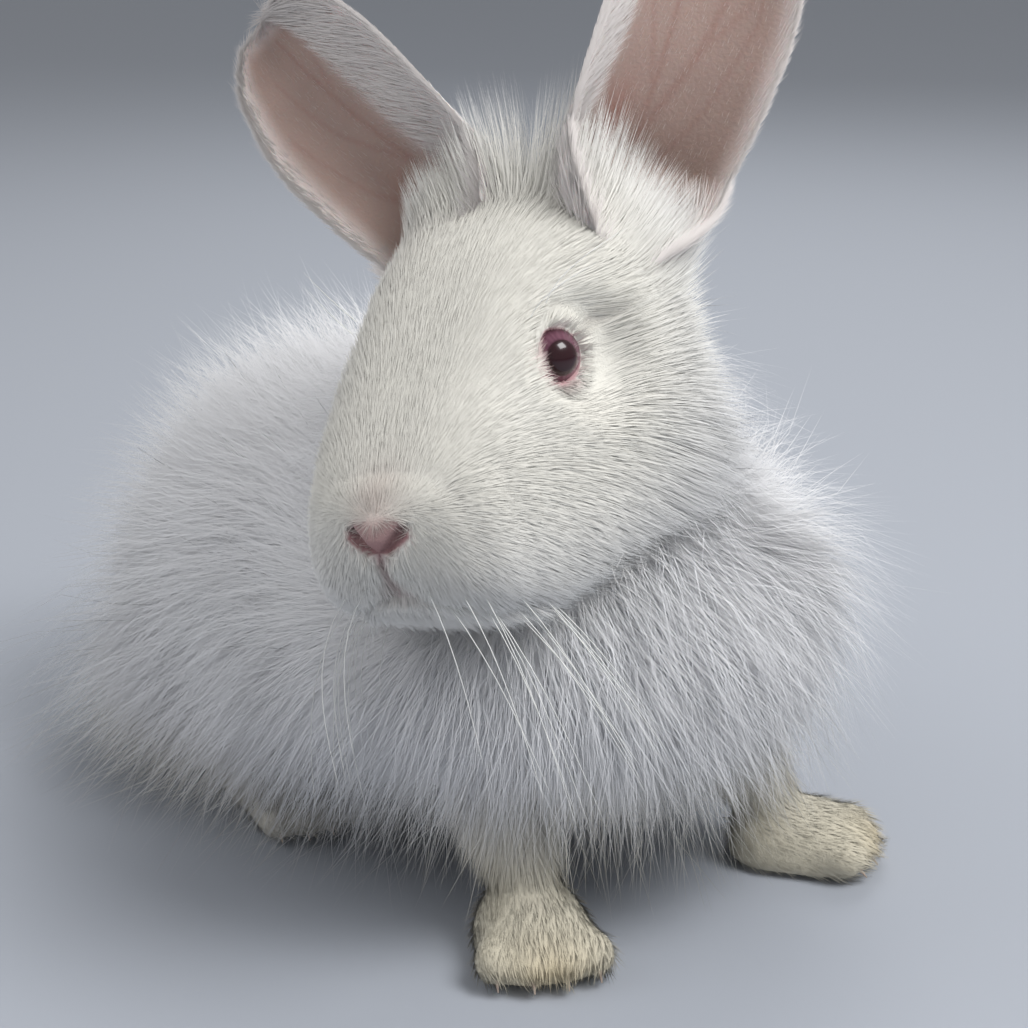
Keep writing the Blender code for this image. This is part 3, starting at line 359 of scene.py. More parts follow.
def core_form(y, angle, out=0.0):
    """Trunk surface: sections pointed above the waist and square below it, pushed out by a depth."""
    y, angle = np.broadcast_arrays(np.asarray(y, float), np.asarray(angle, float))
    width = through(CORE_Y, CORE_WIDTH, y) + out
    top = through(CORE_Y, CORE_TOP, y) + out
    floor = through(CORE_Y, CORE_FLOOR, y) - out
    waist = through(CORE_Y, CORE_WAIST, y)
    above = np.sin(angle) > 0
    power = 2 / np.where(above, CORE_POINTED, through(CORE_Y, CORE_SQUARE, y))
    half = np.where(above, top - waist, waist - floor)
    side = np.sign(np.cos(angle)) * np.abs(np.cos(angle)) ** power
    rise = np.sign(np.sin(angle)) * np.abs(np.sin(angle)) ** power
    return np.stack([width * side, y, waist + half * rise], -1)


def core_holds(points, margin=0.0):
    """Which places of the world lie inside the trunk grown by a margin: |x/w|^p + |z/h|^p below 1."""
    x, y, z = np.moveaxis(np.asarray(points, float) - shift, -1, 0)
    at = np.clip(y, CORE_Y[0], CORE_Y[-1])
    waist = through(CORE_Y, CORE_WAIST, at)
    above = z > waist
    power = np.where(above, CORE_POINTED, through(CORE_Y, CORE_SQUARE, at))
    half = np.where(above, through(CORE_Y, CORE_TOP, at) - waist, waist - through(CORE_Y, CORE_FLOOR, at))
    half = half + margin
    width = np.maximum(through(CORE_Y, CORE_WIDTH, at) + margin, 0.001)
    inside = np.abs(x / width) ** power + np.abs((z - waist) / half) ** power < 1
    return inside & (y > CORE_Y[0] - margin) & (y < CORE_Y[-1] + margin)


def head_holds(points, margin=0.0):
    """Which places of the world lie inside the head grown by a margin."""
    x, y, z = np.moveaxis(world_to_head(points), -1, 0)
    at = np.clip(y, HEAD_Y[0], HEAD_Y[-1])
    width = through(HEAD_Y, HEAD_WIDTH, at) + margin
    top = through(HEAD_Y, HEAD_TOP, at) + margin
    floor = through(HEAD_Y, HEAD_FLOOR, at) - margin
    rise = (2 * z - top - floor) / (top - floor)
    inside = np.abs(x / width) ** HEAD_SQUARE + np.abs(rise) ** HEAD_SQUARE < 1
    return inside & (y > HEAD_Y[0] - margin) & (y < HEAD_Y[-1] + margin)


def tube_rings(path, radii, sides, wide=1.0):
    """Rings of given radii along a path, each square to it, stretched across the upright by wide."""
    path = np.asarray(path, float)
    ways = unit(np.gradient(path, axis=0))
    hint = np.where(np.abs(ways[:, 2:]) < 0.9, UP, AHEAD)
    across = unit(np.cross(ways, hint))
    over = np.cross(across, ways)
    turn = np.linspace(0, 2 * math.pi, sides, endpoint=False)[None, :, None]
    radii = np.asarray(radii, float)[:, None, None]
    return path[:, None] + radii * (wide * np.cos(turn) * across[:, None] + np.sin(turn) * over[:, None])


def ball_rings(centre, radii, rings=14, sides=28):
    """Rings of latitude of an ellipsoid, its axis upright."""
    polar = np.linspace(0.12, math.pi - 0.12, rings)[:, None]
    turn = np.linspace(0, 2 * math.pi, sides, endpoint=False)[None, :]
    level = np.sin(polar)
    ball = np.stack([level * np.cos(turn), level * np.sin(turn), np.cos(polar) + 0 * turn], -1)
    return np.asarray(centre) + ball * radii


def foot_rings(place, turn, length, width, height):
    """Sections of one sole along its length, and of its four toes, rounded off to their tips."""
    share = np.linspace(-1, 1, 14)[:, None]
    angle = np.linspace(0, 2 * math.pi, 28, endpoint=False)[None, :]
    round_off = np.sqrt(np.maximum(0, 1 - np.abs(share) ** 3))
    wide = width / 2 * (0.92 - 0.08 * share) * (0.35 + 0.65 * round_off)
    high = height * (0.86 + 0.14 * share) * (0.30 + 0.70 * round_off)
    along = share * length * 0.42 + 0 * angle
    forms = [np.stack([wide * np.cos(angle), along, height * 0.18 + high * 0.82 * np.sin(angle)], -1)]
    for spread in np.linspace(-0.5, 0.5, TOES):
        x = spread * width * 0.74
        reach = length * (0.50 - 0.34 * spread**2 * width / length)
        radius = width * 0.155
        path = [(x * 0.8, -length * 0.10, radius * 1.2), (x, -reach + radius, radius * 1.25)]
        path += [(x * 1.04, -reach + radius * 0.2, radius), (x * 1.04, -reach, radius * 0.85)]
        forms.append(tube_rings(path, radius * np.array([1.0, 1.12, 0.86, 0.35]), 14))
    turned = np.array(Matrix.Rotation(turn, 3, "Z"))
    return [form @ turned.T + (place[0], place[1], 0.0) for form in forms]


def arm_path(side_name):
    """A forearm's middle line from elbow to wrist, bowed back a little."""
    mirror = 1 if side_name == "left" else -1
    x, y = PAW_PLACE[side_name]
    turn = PAW_TURN[side_name]
    elbow = np.array([mirror * ELBOW[0], ELBOW[1], ELBOW[2]])
    wrist = np.array([x - WRIST_BACK * math.sin(turn), y + WRIST_BACK * math.cos(turn), WRIST_HEIGHT])
    share = np.linspace(0, 1, 5)[:, None]
    path = elbow + (wrist - elbow) * share
    path[:, 1] += 0.010 * np.sin(math.pi * share[:, 0])
    return path


def skin_forms():
    """All closed forms under the rest of the skin, as arrays of rings in the design's own frame."""
    share = (1 - np.cos(math.pi * np.linspace(0, 1, 40))) / 2
    y = CORE_Y[0] + (CORE_Y[-1] - CORE_Y[0]) * share
    angle = np.linspace(0, 2 * math.pi, 72, endpoint=False)
    trunk = core_form(y[:, None], angle[None, :], -WOOL_SINK)
    trunk[..., 1] = (CORE_Y[0] + WOOL_SINK + (CORE_Y[-1] - CORE_Y[0] - 2 * WOOL_SINK) * share)[:, None]
    forms = [trunk, tube_rings(NECK_PATH, np.array(NECK_RADII) - WOOL_SINK * 0.6, 48, 1.05)]
    forms.append(ball_rings(TAIL_CENTRE, np.array(TAIL_RADII) - WOOL_SINK * 0.6))
    for side_name in ("left", "right"):
        mirror = 1 if side_name == "left" else -1
        forms.append(tube_rings(arm_path(side_name), np.array(ARM_RADII) - FOOT_FUR_DEPTH, 28))
        forms += foot_rings(PAW_PLACE[side_name], PAW_TURN[side_name], PAW_LENGTH, PAW_WIDTH, PAW_HEIGHT)
        place = (mirror * FOOT_PLACE[0], FOOT_PLACE[1])
        forms += foot_rings(place, mirror * FOOT_TURN, FOOT_LENGTH, FOOT_WIDTH, FOOT_HEIGHT)
    return forms


def joined(parts):
    """Several (points, faces) pairs as one pair."""
    starts = np.cumsum([0] + [len(points) for points, _ in parts[:-1]])
    points = np.concatenate([points for points, _ in parts])
    return points, np.concatenate([faces + start for start, (_, faces) in zip(starts, parts)])


def settled(source, *steps):
    """Points, triangles and normals of a piece after its modifiers; the piece itself is removed."""
    for name, kind, settings in steps:
        step = source.modifiers.new(name, kind)
        for key, value in settings.items():
            setattr(step, key, value)
    bpy.context.view_layer.update()
    mesh = bpy.data.meshes.new_from_object(source.evaluated_get(bpy.context.evaluated_depsgraph_get()))
    bpy.data.objects.remove(source, do_unlink=True)
    mesh.calc_loop_triangles()
    points = np.empty(len(mesh.vertices) * 3)
    mesh.vertices.foreach_get("co", points)
    faces = np.empty(len(mesh.loop_triangles) * 3, np.int32)
    mesh.loop_triangles.foreach_get("vertices", faces)
    normals = np.empty(len(mesh.vertices) * 3)
    mesh.vertices.foreach_get("normal", normals)
    bpy.data.meshes.remove(mesh)
    return points.reshape(-1, 3), faces.reshape(-1, 3), normals.reshape(-1, 3)


rough_points, rough_faces = joined([closed_rings(rings + shift) for rings in skin_forms()])
rough_points[:, 2] = np.maximum(rough_points[:, 2], 0.0006)
rough = piece("rough_skin", rough_points, rough_faces)
voxels = ("voxels", "REMESH", {"mode": "VOXEL", "voxel_size": SKIN_VOXEL})
softened = ("softened", "SMOOTH", {"factor": 0.5, "iterations": 7})
body_points, body_faces, body_normals = settled(rough, voxels, softened)
body_points[:, 2] = np.maximum(body_points[:, 2], 0.0006)


# Colour of the coat, which skin, fur and wool share: cool white wool on the body, warm white on the
# head, and cream on the feet, where a white rabbit's fur yellows from standing on it.

WOOL_WHITE = "#FBFBFD"
FACE_WHITE = "#FBF8EE"
PAW_CREAM = "#DDD6C2"
TOE_STAIN = "#DCC89E"
EAR_FUR = "#F3ECE8"
LID_PINK = "#C08A92"
LID_RIM = (0.0005, 0.0018)
# Painted shade: a greyer colour laid along the fold behind each eye, where the brow casts its shade.
FOLD_PAINTED_SHADE = "#C9C0B8"
NOSE_PINK = "#9C7074"
BRIDGE_BLUSH = "#E6D2C8"
# Painted shade: a dark red laid on the nostril slits for the shade inside the openings.
NOSTRIL_PAINTED_SHADE = "#431A26"
LIP_ROSE = "#A38686"


def linear(code):
    """An sRGB hex colour as linear red, green and blue."""
    value = np.array([int(code[i:i + 2], 16) for i in (1, 3, 5)]) / 255
    return np.where(value <= 0.04045, value / 12.92, ((value + 0.055) / 1.055) ** 2.4)


def mixed(under, over, share):
    """Colours blended point by point: under where share is 0, over where it is 1."""
    share = np.clip(share, 0, 1)[..., None]
    return under * (1 - share) + over * share


def coat_tint(points):
    """The coat's colour at places of the world, by nearness to the head, the paws and the floor."""
    head = world_to_head(points)
    off_head = np.linalg.norm(head / (0.050, 0.072, 0.058), axis=-1)
    tint = mixed(linear(WOOL_WHITE), linear(FACE_WHITE), 1 - smooth_step(off_head, 0.9, 1.5))
    x, y, z = np.moveaxis(points - shift, -1, 0)
    low = 1 - smooth_step(z, 0.014, 0.060)
    front = 1 - smooth_step(y, 0.02, 0.07)
    tint = mixed(tint, linear(PAW_CREAM), low * front)
    tint = mixed(tint, linear(PAW_CREAM), 0.7 * (1 - smooth_step(z, 0.004, 0.030)))
    for side_name, (px, py) in PAW_PLACE.items():
        turn = PAW_TURN[side_name]
        toe = np.array([px + 0.024 * math.sin(turn), py - 0.024 * math.cos(turn), 0.006])
        near = np.exp(-(((points - shift - toe) / (0.012, 0.012, 0.008)) ** 2).sum(-1))
        tint = mixed(tint, linear(TOE_STAIN), 0.6 * near)
    return tint


def nose_share(head):
    """1 on the nose's leather, a V that is wide at the nostrils and runs down to the cleft, 0 off it."""
    spread = np.linalg.norm((head - NOSE_PLACE) / NOSE_LEATHER, axis=-1)
    low = np.abs(head[..., 0]) * 0.62 - (head[..., 2] + 0.0355)
    high = head[..., 2] + 0.0235 - 0.30 * np.abs(head[..., 0])
    inside = (1 - smooth_step(low, -0.001, 0.0008)) * (1 - smooth_step(high, -0.0024, 0.0024))
    return inside * (1 - smooth_step(spread, 0.95, 1.15))


def face_tint(points):
    """The bare skin's colours on the head, by distance: nose, cleft, lips, lid edges, painted shade in the
    nostrils and along each eye's fold.
    """
    tint = coat_tint(points)
    head = world_to_head(points)
    tint = mixed(tint, linear(NOSE_PINK), nose_share(head))
    tint = mixed(tint, linear(NOSE_PINK), bell(distance_to(CLEFT, head), 0.0016))
    for mirror in (-1, 1):
        # Painted shade: each nostril slit is darkened for the shade inside its opening.
        slit = distance_to(np.array(NOSTRIL) * (mirror, 1, 1), head)
        tint = mixed(tint, linear(NOSTRIL_PAINTED_SHADE), bell(slit, 0.0014))
        mouth = distance_to(mouth_line(mirror), head)
        front = 1 - smooth_step(np.abs(head[..., 0]), 0.003, 0.010)
        tint = mixed(tint, linear(LIP_ROSE), bell(mouth, 0.0018) * front)
        across, height, out = lid_plane(head, mirror)
        past = by_lids(head, mirror)[1]
        corner = np.maximum((0.6 * across - 0.8 * height) / (np.hypot(across, height) + 1e-6), 0)
        broad = LID_RIM[0] + (LID_RIM[1] - LID_RIM[0]) * corner**2
        rim = 1 - smooth_step(past, 0.5 * broad, 1.4 * broad)
        tint = mixed(tint, linear(LID_PINK), 0.85 * rim * (out > 0))
        # Painted shade along the fold behind the eye, laid over its shallow groove.
        fold = distance_to(LID_FOLD, np.stack([across, height], -1))
        tint = mixed(tint, linear(FOLD_PAINTED_SHADE), 0.4 * bell(fold, 0.0022) * (out > 0))
    bridge = np.exp(-(((head - (0.0, -0.058, -0.020)) / (0.008, 0.010, 0.009)) ** 2).sum(-1))
    tint = mixed(tint, linear(BRIDGE_BLUSH), 0.8 * bridge)
    return tint


def add_node(material, kind, settings=(), links=()):
    """A node of a kind in a material, with settings by socket or property name, and links by socket name."""
    tree = material.node_tree
    node = tree.nodes.new(kind)
    for key, value in dict(settings).items():
        if key in node.inputs:
            node.inputs[key].default_value = value
        else:
            setattr(node, key, value)
    for key, source in dict(links).items():
        tree.links.new(source, node.inputs[key])
    return node


def coat_material(name, roughness, patch, strength, sheen, bump=0.0, bump_size=0.0):
    """Hair colour from the piece's tint, a little lighter and darker in soft patches of a given size."""
    material = bpy.data.materials.new(name)
    material.use_nodes = True
    tree = material.node_tree
    shader = tree.nodes["Principled BSDF"]
    place = add_node(material, "ShaderNodeTexCoord")
    tint = add_node(material, "ShaderNodeAttribute", {"attribute_name": "tint"})
    where = {"Vector": place.outputs["Object"]}
    cloud = add_node(material, "ShaderNodeTexNoise", {"Scale": 1 / patch, "Detail": 1.0}, where)
    span = {"To Min": 1 - strength, "To Max": 1.0}
    level = add_node(material, "ShaderNodeMapRange", span, {"Value": cloud.outputs["Fac"]})
    shade = add_node(material, "ShaderNodeMix", {"data_type": "RGBA", "blend_type": "MULTIPLY"})
    shade.inputs[0].default_value = 1.0
    tree.links.new(tint.outputs["Color"], shade.inputs[6])
    tree.links.new(level.outputs["Result"], shade.inputs[7])
    tree.links.new(shade.outputs[2], shader.inputs["Base Color"])
    shader.inputs["Roughness"].default_value = roughness
    shader.inputs["Specular IOR Level"].default_value = 0.15
    shader.inputs["Sheen Weight"].default_value = sheen
    shader.inputs["Sheen Roughness"].default_value = 0.4
    if bump:
        grain = add_node(material, "ShaderNodeTexNoise", {"Scale": 1 / bump_size, "Detail": 2.0}, where)
        depth = {"Strength": 0.6, "Distance": bump}
        relief = add_node(material, "ShaderNodeBump", depth, {"Height": grain.outputs["Fac"]})
        tree.links.new(relief.outputs["Normal"], shader.inputs["Normal"])
    return material


def dressed(made, material):
    """Gives a piece its material and its place on the one body."""
    made.data.materials.append(material)
    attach(made, "root")


# Skin under short white fur: matt, pink where bare, with a fine grain 0.6 mm across.
skin_material = coat_material("skin_under_fur", 0.62, 0.030, 0.06, 0.10, 0.0004, 0.0006)
all_points, all_faces = joined([(head_points, head_faces), (body_points, body_faces)])
skin_tint = np.concatenate([face_tint(head_points), coat_tint(body_points)])
skin = piece("skin", all_points, all_faces, tint=skin_tint)
dressed(skin, skin_material)


# Eyes: ruby pink, as an albino's are, since the blood shows through an iris with no pigment. A wet
# ball in its lids, with a mauve iris round a dark red pupil that stands a little taller than wide.

IRIS_MAUVE = "#74485A"
IRIS_RIM = "#45222E"
PUPIL_RED = "#2C0710"
GAZE = (1.0, 0.27, -0.09)
PUPIL_ANGLE = math.radians(30)
IRIS_ANGLE = math.radians(62)
CORNEA_BULGE = 0.0010


def eye_ball(mirror, rings, sides):
    """A ball round the eye's gaze, bulged at the front as a bell, with each point's angle off the gaze."""
    centre, look, along, over = eye_axes(mirror)
    look = unit(GAZE[0] * look + GAZE[1] * along + GAZE[2] * over)
    along = unit(np.cross(over, look)) * mirror
    over = np.cross(look, along) * mirror
    polar = np.linspace(0.02, math.pi - 0.02, rings)[:, None]
    turn = np.linspace(0, 2 * math.pi, sides, endpoint=False)[None, :]
    radius = EYE_RADIUS + CORNEA_BULGE * np.exp(-(polar / 0.62) ** 4) - 0.0002
    ring = np.cos(turn)[..., None] * along + np.sin(turn)[..., None] * over
    ways = np.cos(polar)[..., None] * look + np.sin(polar)[..., None] * ring
    return centre + radius[..., None] * ways, polar + 0 * turn, turn + 0 * polar


def eye_tint(polar, turn):
    """Pupil, iris and its dark rim by the angle off the look; the iris has faint spokes."""
    reach = polar / (1 + 0.14 * np.sin(turn) ** 2)
    spokes = 0.5 + 0.5 * np.sin(turn * 37 + 3 * np.sin(turn * 5))
    iris = mixed(linear(IRIS_MAUVE), linear(IRIS_RIM), 0.35 * spokes)
    iris = mixed(iris, linear(IRIS_RIM), smooth_step(polar, IRIS_ANGLE * 0.72, IRIS_ANGLE))
    return mixed(linear(PUPIL_RED), iris, smooth_step(reach, PUPIL_ANGLE * 0.92, PUPIL_ANGLE * 1.06))


# Wet cornea over the iris: smooth, with a sharp highlight from its clear coat.
eye_material = bpy.data.materials.new("wet_ruby_eye")
eye_material.use_nodes = True
eye_shader = eye_material.node_tree.nodes["Principled BSDF"]
eye_colour = add_node(eye_material, "ShaderNodeAttribute", {"attribute_name": "tint"})
eye_material.node_tree.links.new(eye_colour.outputs["Color"], eye_shader.inputs["Base Color"])
eye_shader.inputs["Roughness"].default_value = 0.25
eye_shader.inputs["IOR"].default_value = 1.38
eye_shader.inputs["Coat Weight"].default_value = 0.6
eye_shader.inputs["Coat Roughness"].default_value = 0.03
for side_name, mirror in (("left", 1), ("right", -1)):
    rings, polar, turn = eye_ball(mirror, 60, 72)
    points, faces = closed_rings(head_to_world(rings))
    tint = eye_tint(polar, turn).reshape(-1, 3)
    tint = np.concatenate([tint, [linear(PUPIL_RED), linear(IRIS_RIM)]])
    ball = piece("eyeball_" + side_name, points, faces, tint=tint)
    dressed(ball, eye_material)
    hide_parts("eye_" + side_name)


# Ears: a thin leaf of cartilage and skin, rolled to a tube at its root and open above. The cup is
# nearly bare, dusky pink and veined; the back and the rim are furred.

EAR_LENGTH = 0.120
EAR_SHARE = (0.0, 0.15, 0.30, 0.50, 0.65, 0.80, 0.90, 0.95, 0.98, 1.0)
EAR_WIDTH = (0.0140, 0.0225, 0.0265, 0.0285, 0.0285, 0.0252, 0.0208, 0.0160, 0.0108, 0.0014)
EAR_OPEN = (150, 112, 84, 66, 60, 56, 54, 52, 51, 50)
EAR_THICK = 0.0020
EAR_BASE = {"left": (0.0262, 0.0410, 0.0150), "right": (-0.0080, 0.0410, 0.0150)}
EAR_AXIS = {"left": (0.35, 0.46, 0.83), "right": (-0.70, 0.22, 0.72)}
EAR_FACING = {"left": math.radians(-14), "right": math.radians(-79)}
EAR_SKIN = "#B79E94"
EAR_SKIN_LOW = "#AC7164"
EAR_VEIN = "#9E6C62"
EAR_RIM = "#EFE6E2"
EAR_BAND = {"left": (-0.50, 0.86), "right": (-0.80, 0.12)}
VEINS = (
    ((0.05, 0.10), (0.00, 0.40), (-0.10, 0.70), (-0.18, 0.92)),
    ((0.02, 0.30), (0.25, 0.55), (0.38, 0.80), (0.40, 0.93)),
    ((0.00, 0.42), (-0.32, 0.62), (-0.52, 0.85)),
    ((0.15, 0.18), (0.48, 0.42), (0.66, 0.66), (0.64, 0.84)),
    ((-0.08, 0.22), (-0.50, 0.45), (-0.72, 0.70)),
    ((0.25, 0.55), (0.56, 0.70), (0.66, 0.86)),
    ((-0.10, 0.70), (0.08, 0.84), (0.12, 0.95)),
)


def ear_surface(side_name, share, across_share, inner, lift=0.0):
    """One face of an ear: an arc of given half width and opening at each share of the length.

    The inner face lies inside the outer one by the ear's thickness, and lift moves a face off itself.
    """
    axis = head_axes @ unit(EAR_AXIS[side_name])
    azimuth = EAR_FACING[side_name]
    facing = np.array([math.sin(azimuth), -math.cos(azimuth), 0.25])
    facing = unit(facing - axis * facing.dot(axis))
    across = np.cross(axis, facing)
    base = head_axes @ np.array(EAR_BASE[side_name]) + HEAD_CENTRE + shift
    width = through(EAR_SHARE, EAR_WIDTH, share)
    half = np.radians(through(EAR_SHARE, EAR_OPEN, share))
    radius = width / np.sin(np.minimum(half, math.pi / 2))
    thick = EAR_THICK * (1.25 - 0.55 * share) * (1 - 0.75 * np.abs(across_share) ** 6)
    back = 1 - 0.10 * np.sin(math.pi * share)
    turn = half * across_share
    size = radius - thick - lift if inner else radius + lift
    middle = base + (axis * EAR_LENGTH) * share[..., None]
    middle = middle + facing * (radius * (np.cos(np.minimum(half, math.pi / 2)) + 0.25))[..., None]
    arc = np.sin(turn)[..., None] * across - (back * np.cos(turn))[..., None] * facing
    return middle + size[..., None] * arc


def ear_grid(side_name, rings, sides):
    """The ear's outer and inner faces as one closed form, with each point's place across and along it."""
    share = (1 - (1 - np.linspace(0, 1, rings)) ** 1.6)[:, None] + np.zeros((1, sides))
    out = np.linspace(-1, 1, sides)[None, :] + np.zeros((rings, 1))
    outer = ear_surface(side_name, share, out, False)
    inner = ear_surface(side_name, share, out[:, ::-1], True)
    places = np.stack([np.concatenate([out, out[:, ::-1]], 1), np.concatenate([share, share], 1)], -1)
    inside = np.concatenate([np.zeros_like(out), np.ones_like(out)], 1)
    return np.concatenate([outer, inner], 1), places, inside


def ear_hairy(side_name, places):
    """How white the hair makes the cup: all of its rim, and the broad band along its front edge."""
    low, high = EAR_BAND[side_name]
    across, along = places[..., 0], places[..., 1]
    band = smooth_step(across, high - 0.12, high + 0.22)
    band = np.maximum(band, smooth_step(-across, -low - 0.10, -low + 0.22))
    root = 1 - smooth_step(along - 0.10 * np.abs(across), 0.08, 0.22)
    return np.maximum(band, np.maximum(root, smooth_step(along, 0.93, 1.0)))


def ear_tint(side_name, places, inside):
    """Cup colour: pink skin, redder low down, veins as thin dark lines, and white hair over its edges."""
    red = np.exp(-(((places - (-0.25, 0.28)) / (0.14, 0.12)) ** 2).sum(-1))
    tint = mixed(linear(EAR_SKIN), linear(EAR_SKIN_LOW), 0.75 * red)
    vein = np.zeros(places.shape[:-1])
    for i, path in enumerate(VEINS):
        thick, strong = (0.026, 0.32) if i < 2 else (0.016, 0.22)
        vein = np.maximum(vein, strong * bell(distance_to(path, places), thick))
    tint = mixed(tint, linear(EAR_VEIN), vein)
    tint = mixed(tint, linear(EAR_RIM), ear_hairy(side_name, places))
    return mixed(np.broadcast_to(linear(EAR_FUR), tint.shape), tint, inside)


# Ear skin: thin, slightly waxy, a faint glow from the light that passes through it.
ear_material = coat_material("ear_skin", 0.50, 0.012, 0.10, 0.15, 0.0003, 0.0012)
ear_shader = ear_material.node_tree.nodes["Principled BSDF"]
ear_shader.inputs["Subsurface Weight"].default_value = 0.15
ear_shader.inputs["Subsurface Scale"].default_value = 0.003
for side_name in ("left", "right"):
    rings, places, inside = ear_grid(side_name, 90, 60)
    points, faces = closed_rings(rings)
    tint = ear_tint(side_name, places, inside).reshape(-1, 3)
    tint = np.concatenate([tint, tint[:1], tint[-1:]])
    leaf = piece("ear_leaf_" + side_name, points, faces, tint=tint)
    dressed(leaf, ear_material)
    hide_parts("ear_" + side_name)


# Face fur: short, dense guard hair that lies back from the nose over the skull, longer on cheeks,
# crown and nape, where it runs out into the ruff. It grows on the head's skin.

SHORT_FACE_HAIRS = 47500
LONG_FACE_HAIRS = 10500
FACE_HAIR_WIDTH = 0.00032
FUR_Y = (-0.065, -0.045, -0.020, 0.010, 0.035, 0.062)
FUR_LENGTH = (0.0040, 0.0060, 0.0080, 0.0105, 0.0165, 0.0250)
BAKE_PATCH = 0.003
STRAND_SECTION = ((1.0, 0.16), (-1.0, 0.16), (0.0, -0.34))


def strands(paths, ways, widths, bake, soft=0.75):
    """Tapered solid hairs along paths. Each has three-cornered rings, flat side out, and runs to a point.

    paths is hairs by rings by 3, with each hair's tip last. ways is the way out of the skin at its
    root, and soft is how much of it goes into the hair's normals, so that a coat shades as one soft
    body. Every hair takes one small patch of the bake map.
    """
    count, rings = paths.shape[:2]
    sides = len(STRAND_SECTION)
    run = unit(np.gradient(paths, axis=1))
    across = unit(np.cross(ways[:, None], run))
    over = np.cross(run, across)
    share = np.linspace(0, 1, rings)[:-1]
    taper = (1 - 0.70 * share**1.5)[None, :, None, None]
    section = np.array(STRAND_SECTION)[None, None, :, :, None]
    ring = section[..., 0, :] * across[:, :-1, None] + section[..., 1, :] * over[:, :-1, None]
    body = paths[:, :-1, None] + 0.5 * widths[:, None, None, None] * taper * ring
    points = np.concatenate([body.reshape(count, -1, 3), paths[:, -1:]], axis=1)
    own = np.concatenate([ring.reshape(count, -1, 3), run[:, -1:]], axis=1)
    facing = soft * ways[:, None] + (1 - soft) * own
    side, following_side = np.arange(sides), (np.arange(sides) + 1) % sides
    low = (np.arange(rings - 2)[:, None] * sides + side).ravel()
    following = (np.arange(rings - 2)[:, None] * sides + following_side).ravel()
    first = np.stack([low, following, following + sides], -1)
    second = np.stack([low, following + sides, low + sides], -1)
    last = (rings - 2) * sides
    tip = np.stack([last + side, last + following_side, np.full(sides, last + sides)], -1)
    faces = np.concatenate([first, second, tip, [[2, 1, 0]]])
    each = points.shape[1]
    along = np.append(np.repeat(share, sides), 1.0) - 0.5
    beside = np.append(np.tile(side / (sides - 1), rings - 1), 0.5) - 0.5
    patch = np.stack([beside, along], -1) * BAKE_PATCH
    bake = (bake[:, None] + patch[None]).reshape(-1, 2)
    faces = (faces[None] + np.arange(count)[:, None, None] * each).reshape(-1, 3)
    return points.reshape(-1, 3), faces, bake, unit(facing).reshape(-1, 3)


def laid_out(roots, ways, lengths, shares):
    """Middle lines from roots: a step along each way by its share of the length, one after another."""
    steps = np.diff(shares)[None, :, None] * lengths[:, None, None] * ways
    start = roots[:, None]
    return start + np.concatenate([np.zeros_like(start), np.cumsum(steps, axis=1)], axis=1)


def bent_paths(roots, normals, lies, lengths, rises, wobble, shares, rng):
    """Middle lines that leave the skin at a rise off their lie and bend down to it, with a little wobble."""
    middle = ((shares[1:] + shares[:-1]) / 2)[None, :, None]
    first = unit(lies * np.cos(rises)[:, None] + normals * np.sin(rises)[:, None])
    drift = rng.normal(size=roots.shape) * wobble
    ways = unit((1 - middle) * first[:, None] + middle * (lies + drift)[:, None])
    return laid_out(roots, ways, lengths, shares)


def on_mesh(points, faces, weights, count, rng):
    """Random places on triangles, as many on each as its area times the weight of its corners asks."""
    corners = points[faces]
    area = np.linalg.norm(np.cross(corners[:, 1] - corners[:, 0], corners[:, 2] - corners[:, 0]), axis=1)
    odds = area * weights[faces].mean(axis=1)
    chosen = np.searchsorted(np.cumsum(odds) / odds.sum(), rng.random(count))
    chosen = np.minimum(chosen, len(faces) - 1)
    first, second = rng.random((2, count))
    folded = first + second > 1
    first = np.where(folded, 1 - first, first)
    second = np.where(folded, 1 - second, second)
    share = np.stack([1 - first - second, first, second], -1)[..., None]
    return chosen, share


def read_off(values, faces, chosen, share):
    """Point values carried to places on triangles by their shares of the three corners."""
    return (values[faces[chosen]] * share).sum(axis=1)


def rounded_unwrap(points, centre, axis):
    """Unwrap of a rounded form: turn round an axis, and place along it, in a unit square with a margin."""
    away = points - centre
    along = away @ axis
    first = unit(np.cross(axis, UP + 0.01))
    second = np.cross(axis, first)
    turn = np.arctan2(away @ second, away @ first) / (2 * math.pi) + 0.5
    along = (along - along.min()) / (np.ptp(along) + 1e-9)
    return 0.02 + 0.96 * np.stack([turn, along], -1)


def furred(name, material, part, tint=None):
    """One coat piece from strands, tinted as the coat is where each hair stands unless a tint is given."""
    points, faces, bake, facing = part
    made = piece(name, points, faces, bake, coat_tint(points) if tint is None else tint, facing)
    dressed(made, material)


def head_normals(points, faces):
    """Point normals as the mean of the normals of the triangles that meet there."""
    corners = points[faces]
    flat = np.cross(corners[:, 1] - corners[:, 0], corners[:, 2] - corners[:, 0])
    normals = np.zeros_like(points)
    for i in range(3):
        np.add.at(normals, faces[:, i], flat)
    return unit(normals)


def near_ears(head):
    """How near places of the head are to an ear's root, 0 to 1, and the way that this ear stands."""
    near = np.zeros(len(head))
    stand = np.zeros_like(head)
    for side_name in ("left", "right"):
        axis = unit(EAR_AXIS[side_name])
        off = np.linalg.norm(head - EAR_BASE[side_name] - 0.010 * axis, axis=-1)
        own = 1 - smooth_step(off, 0.016, 0.032)
        stand = np.where((own > near)[:, None], axis, stand)
        near = np.maximum(near, own)
    return near, stand


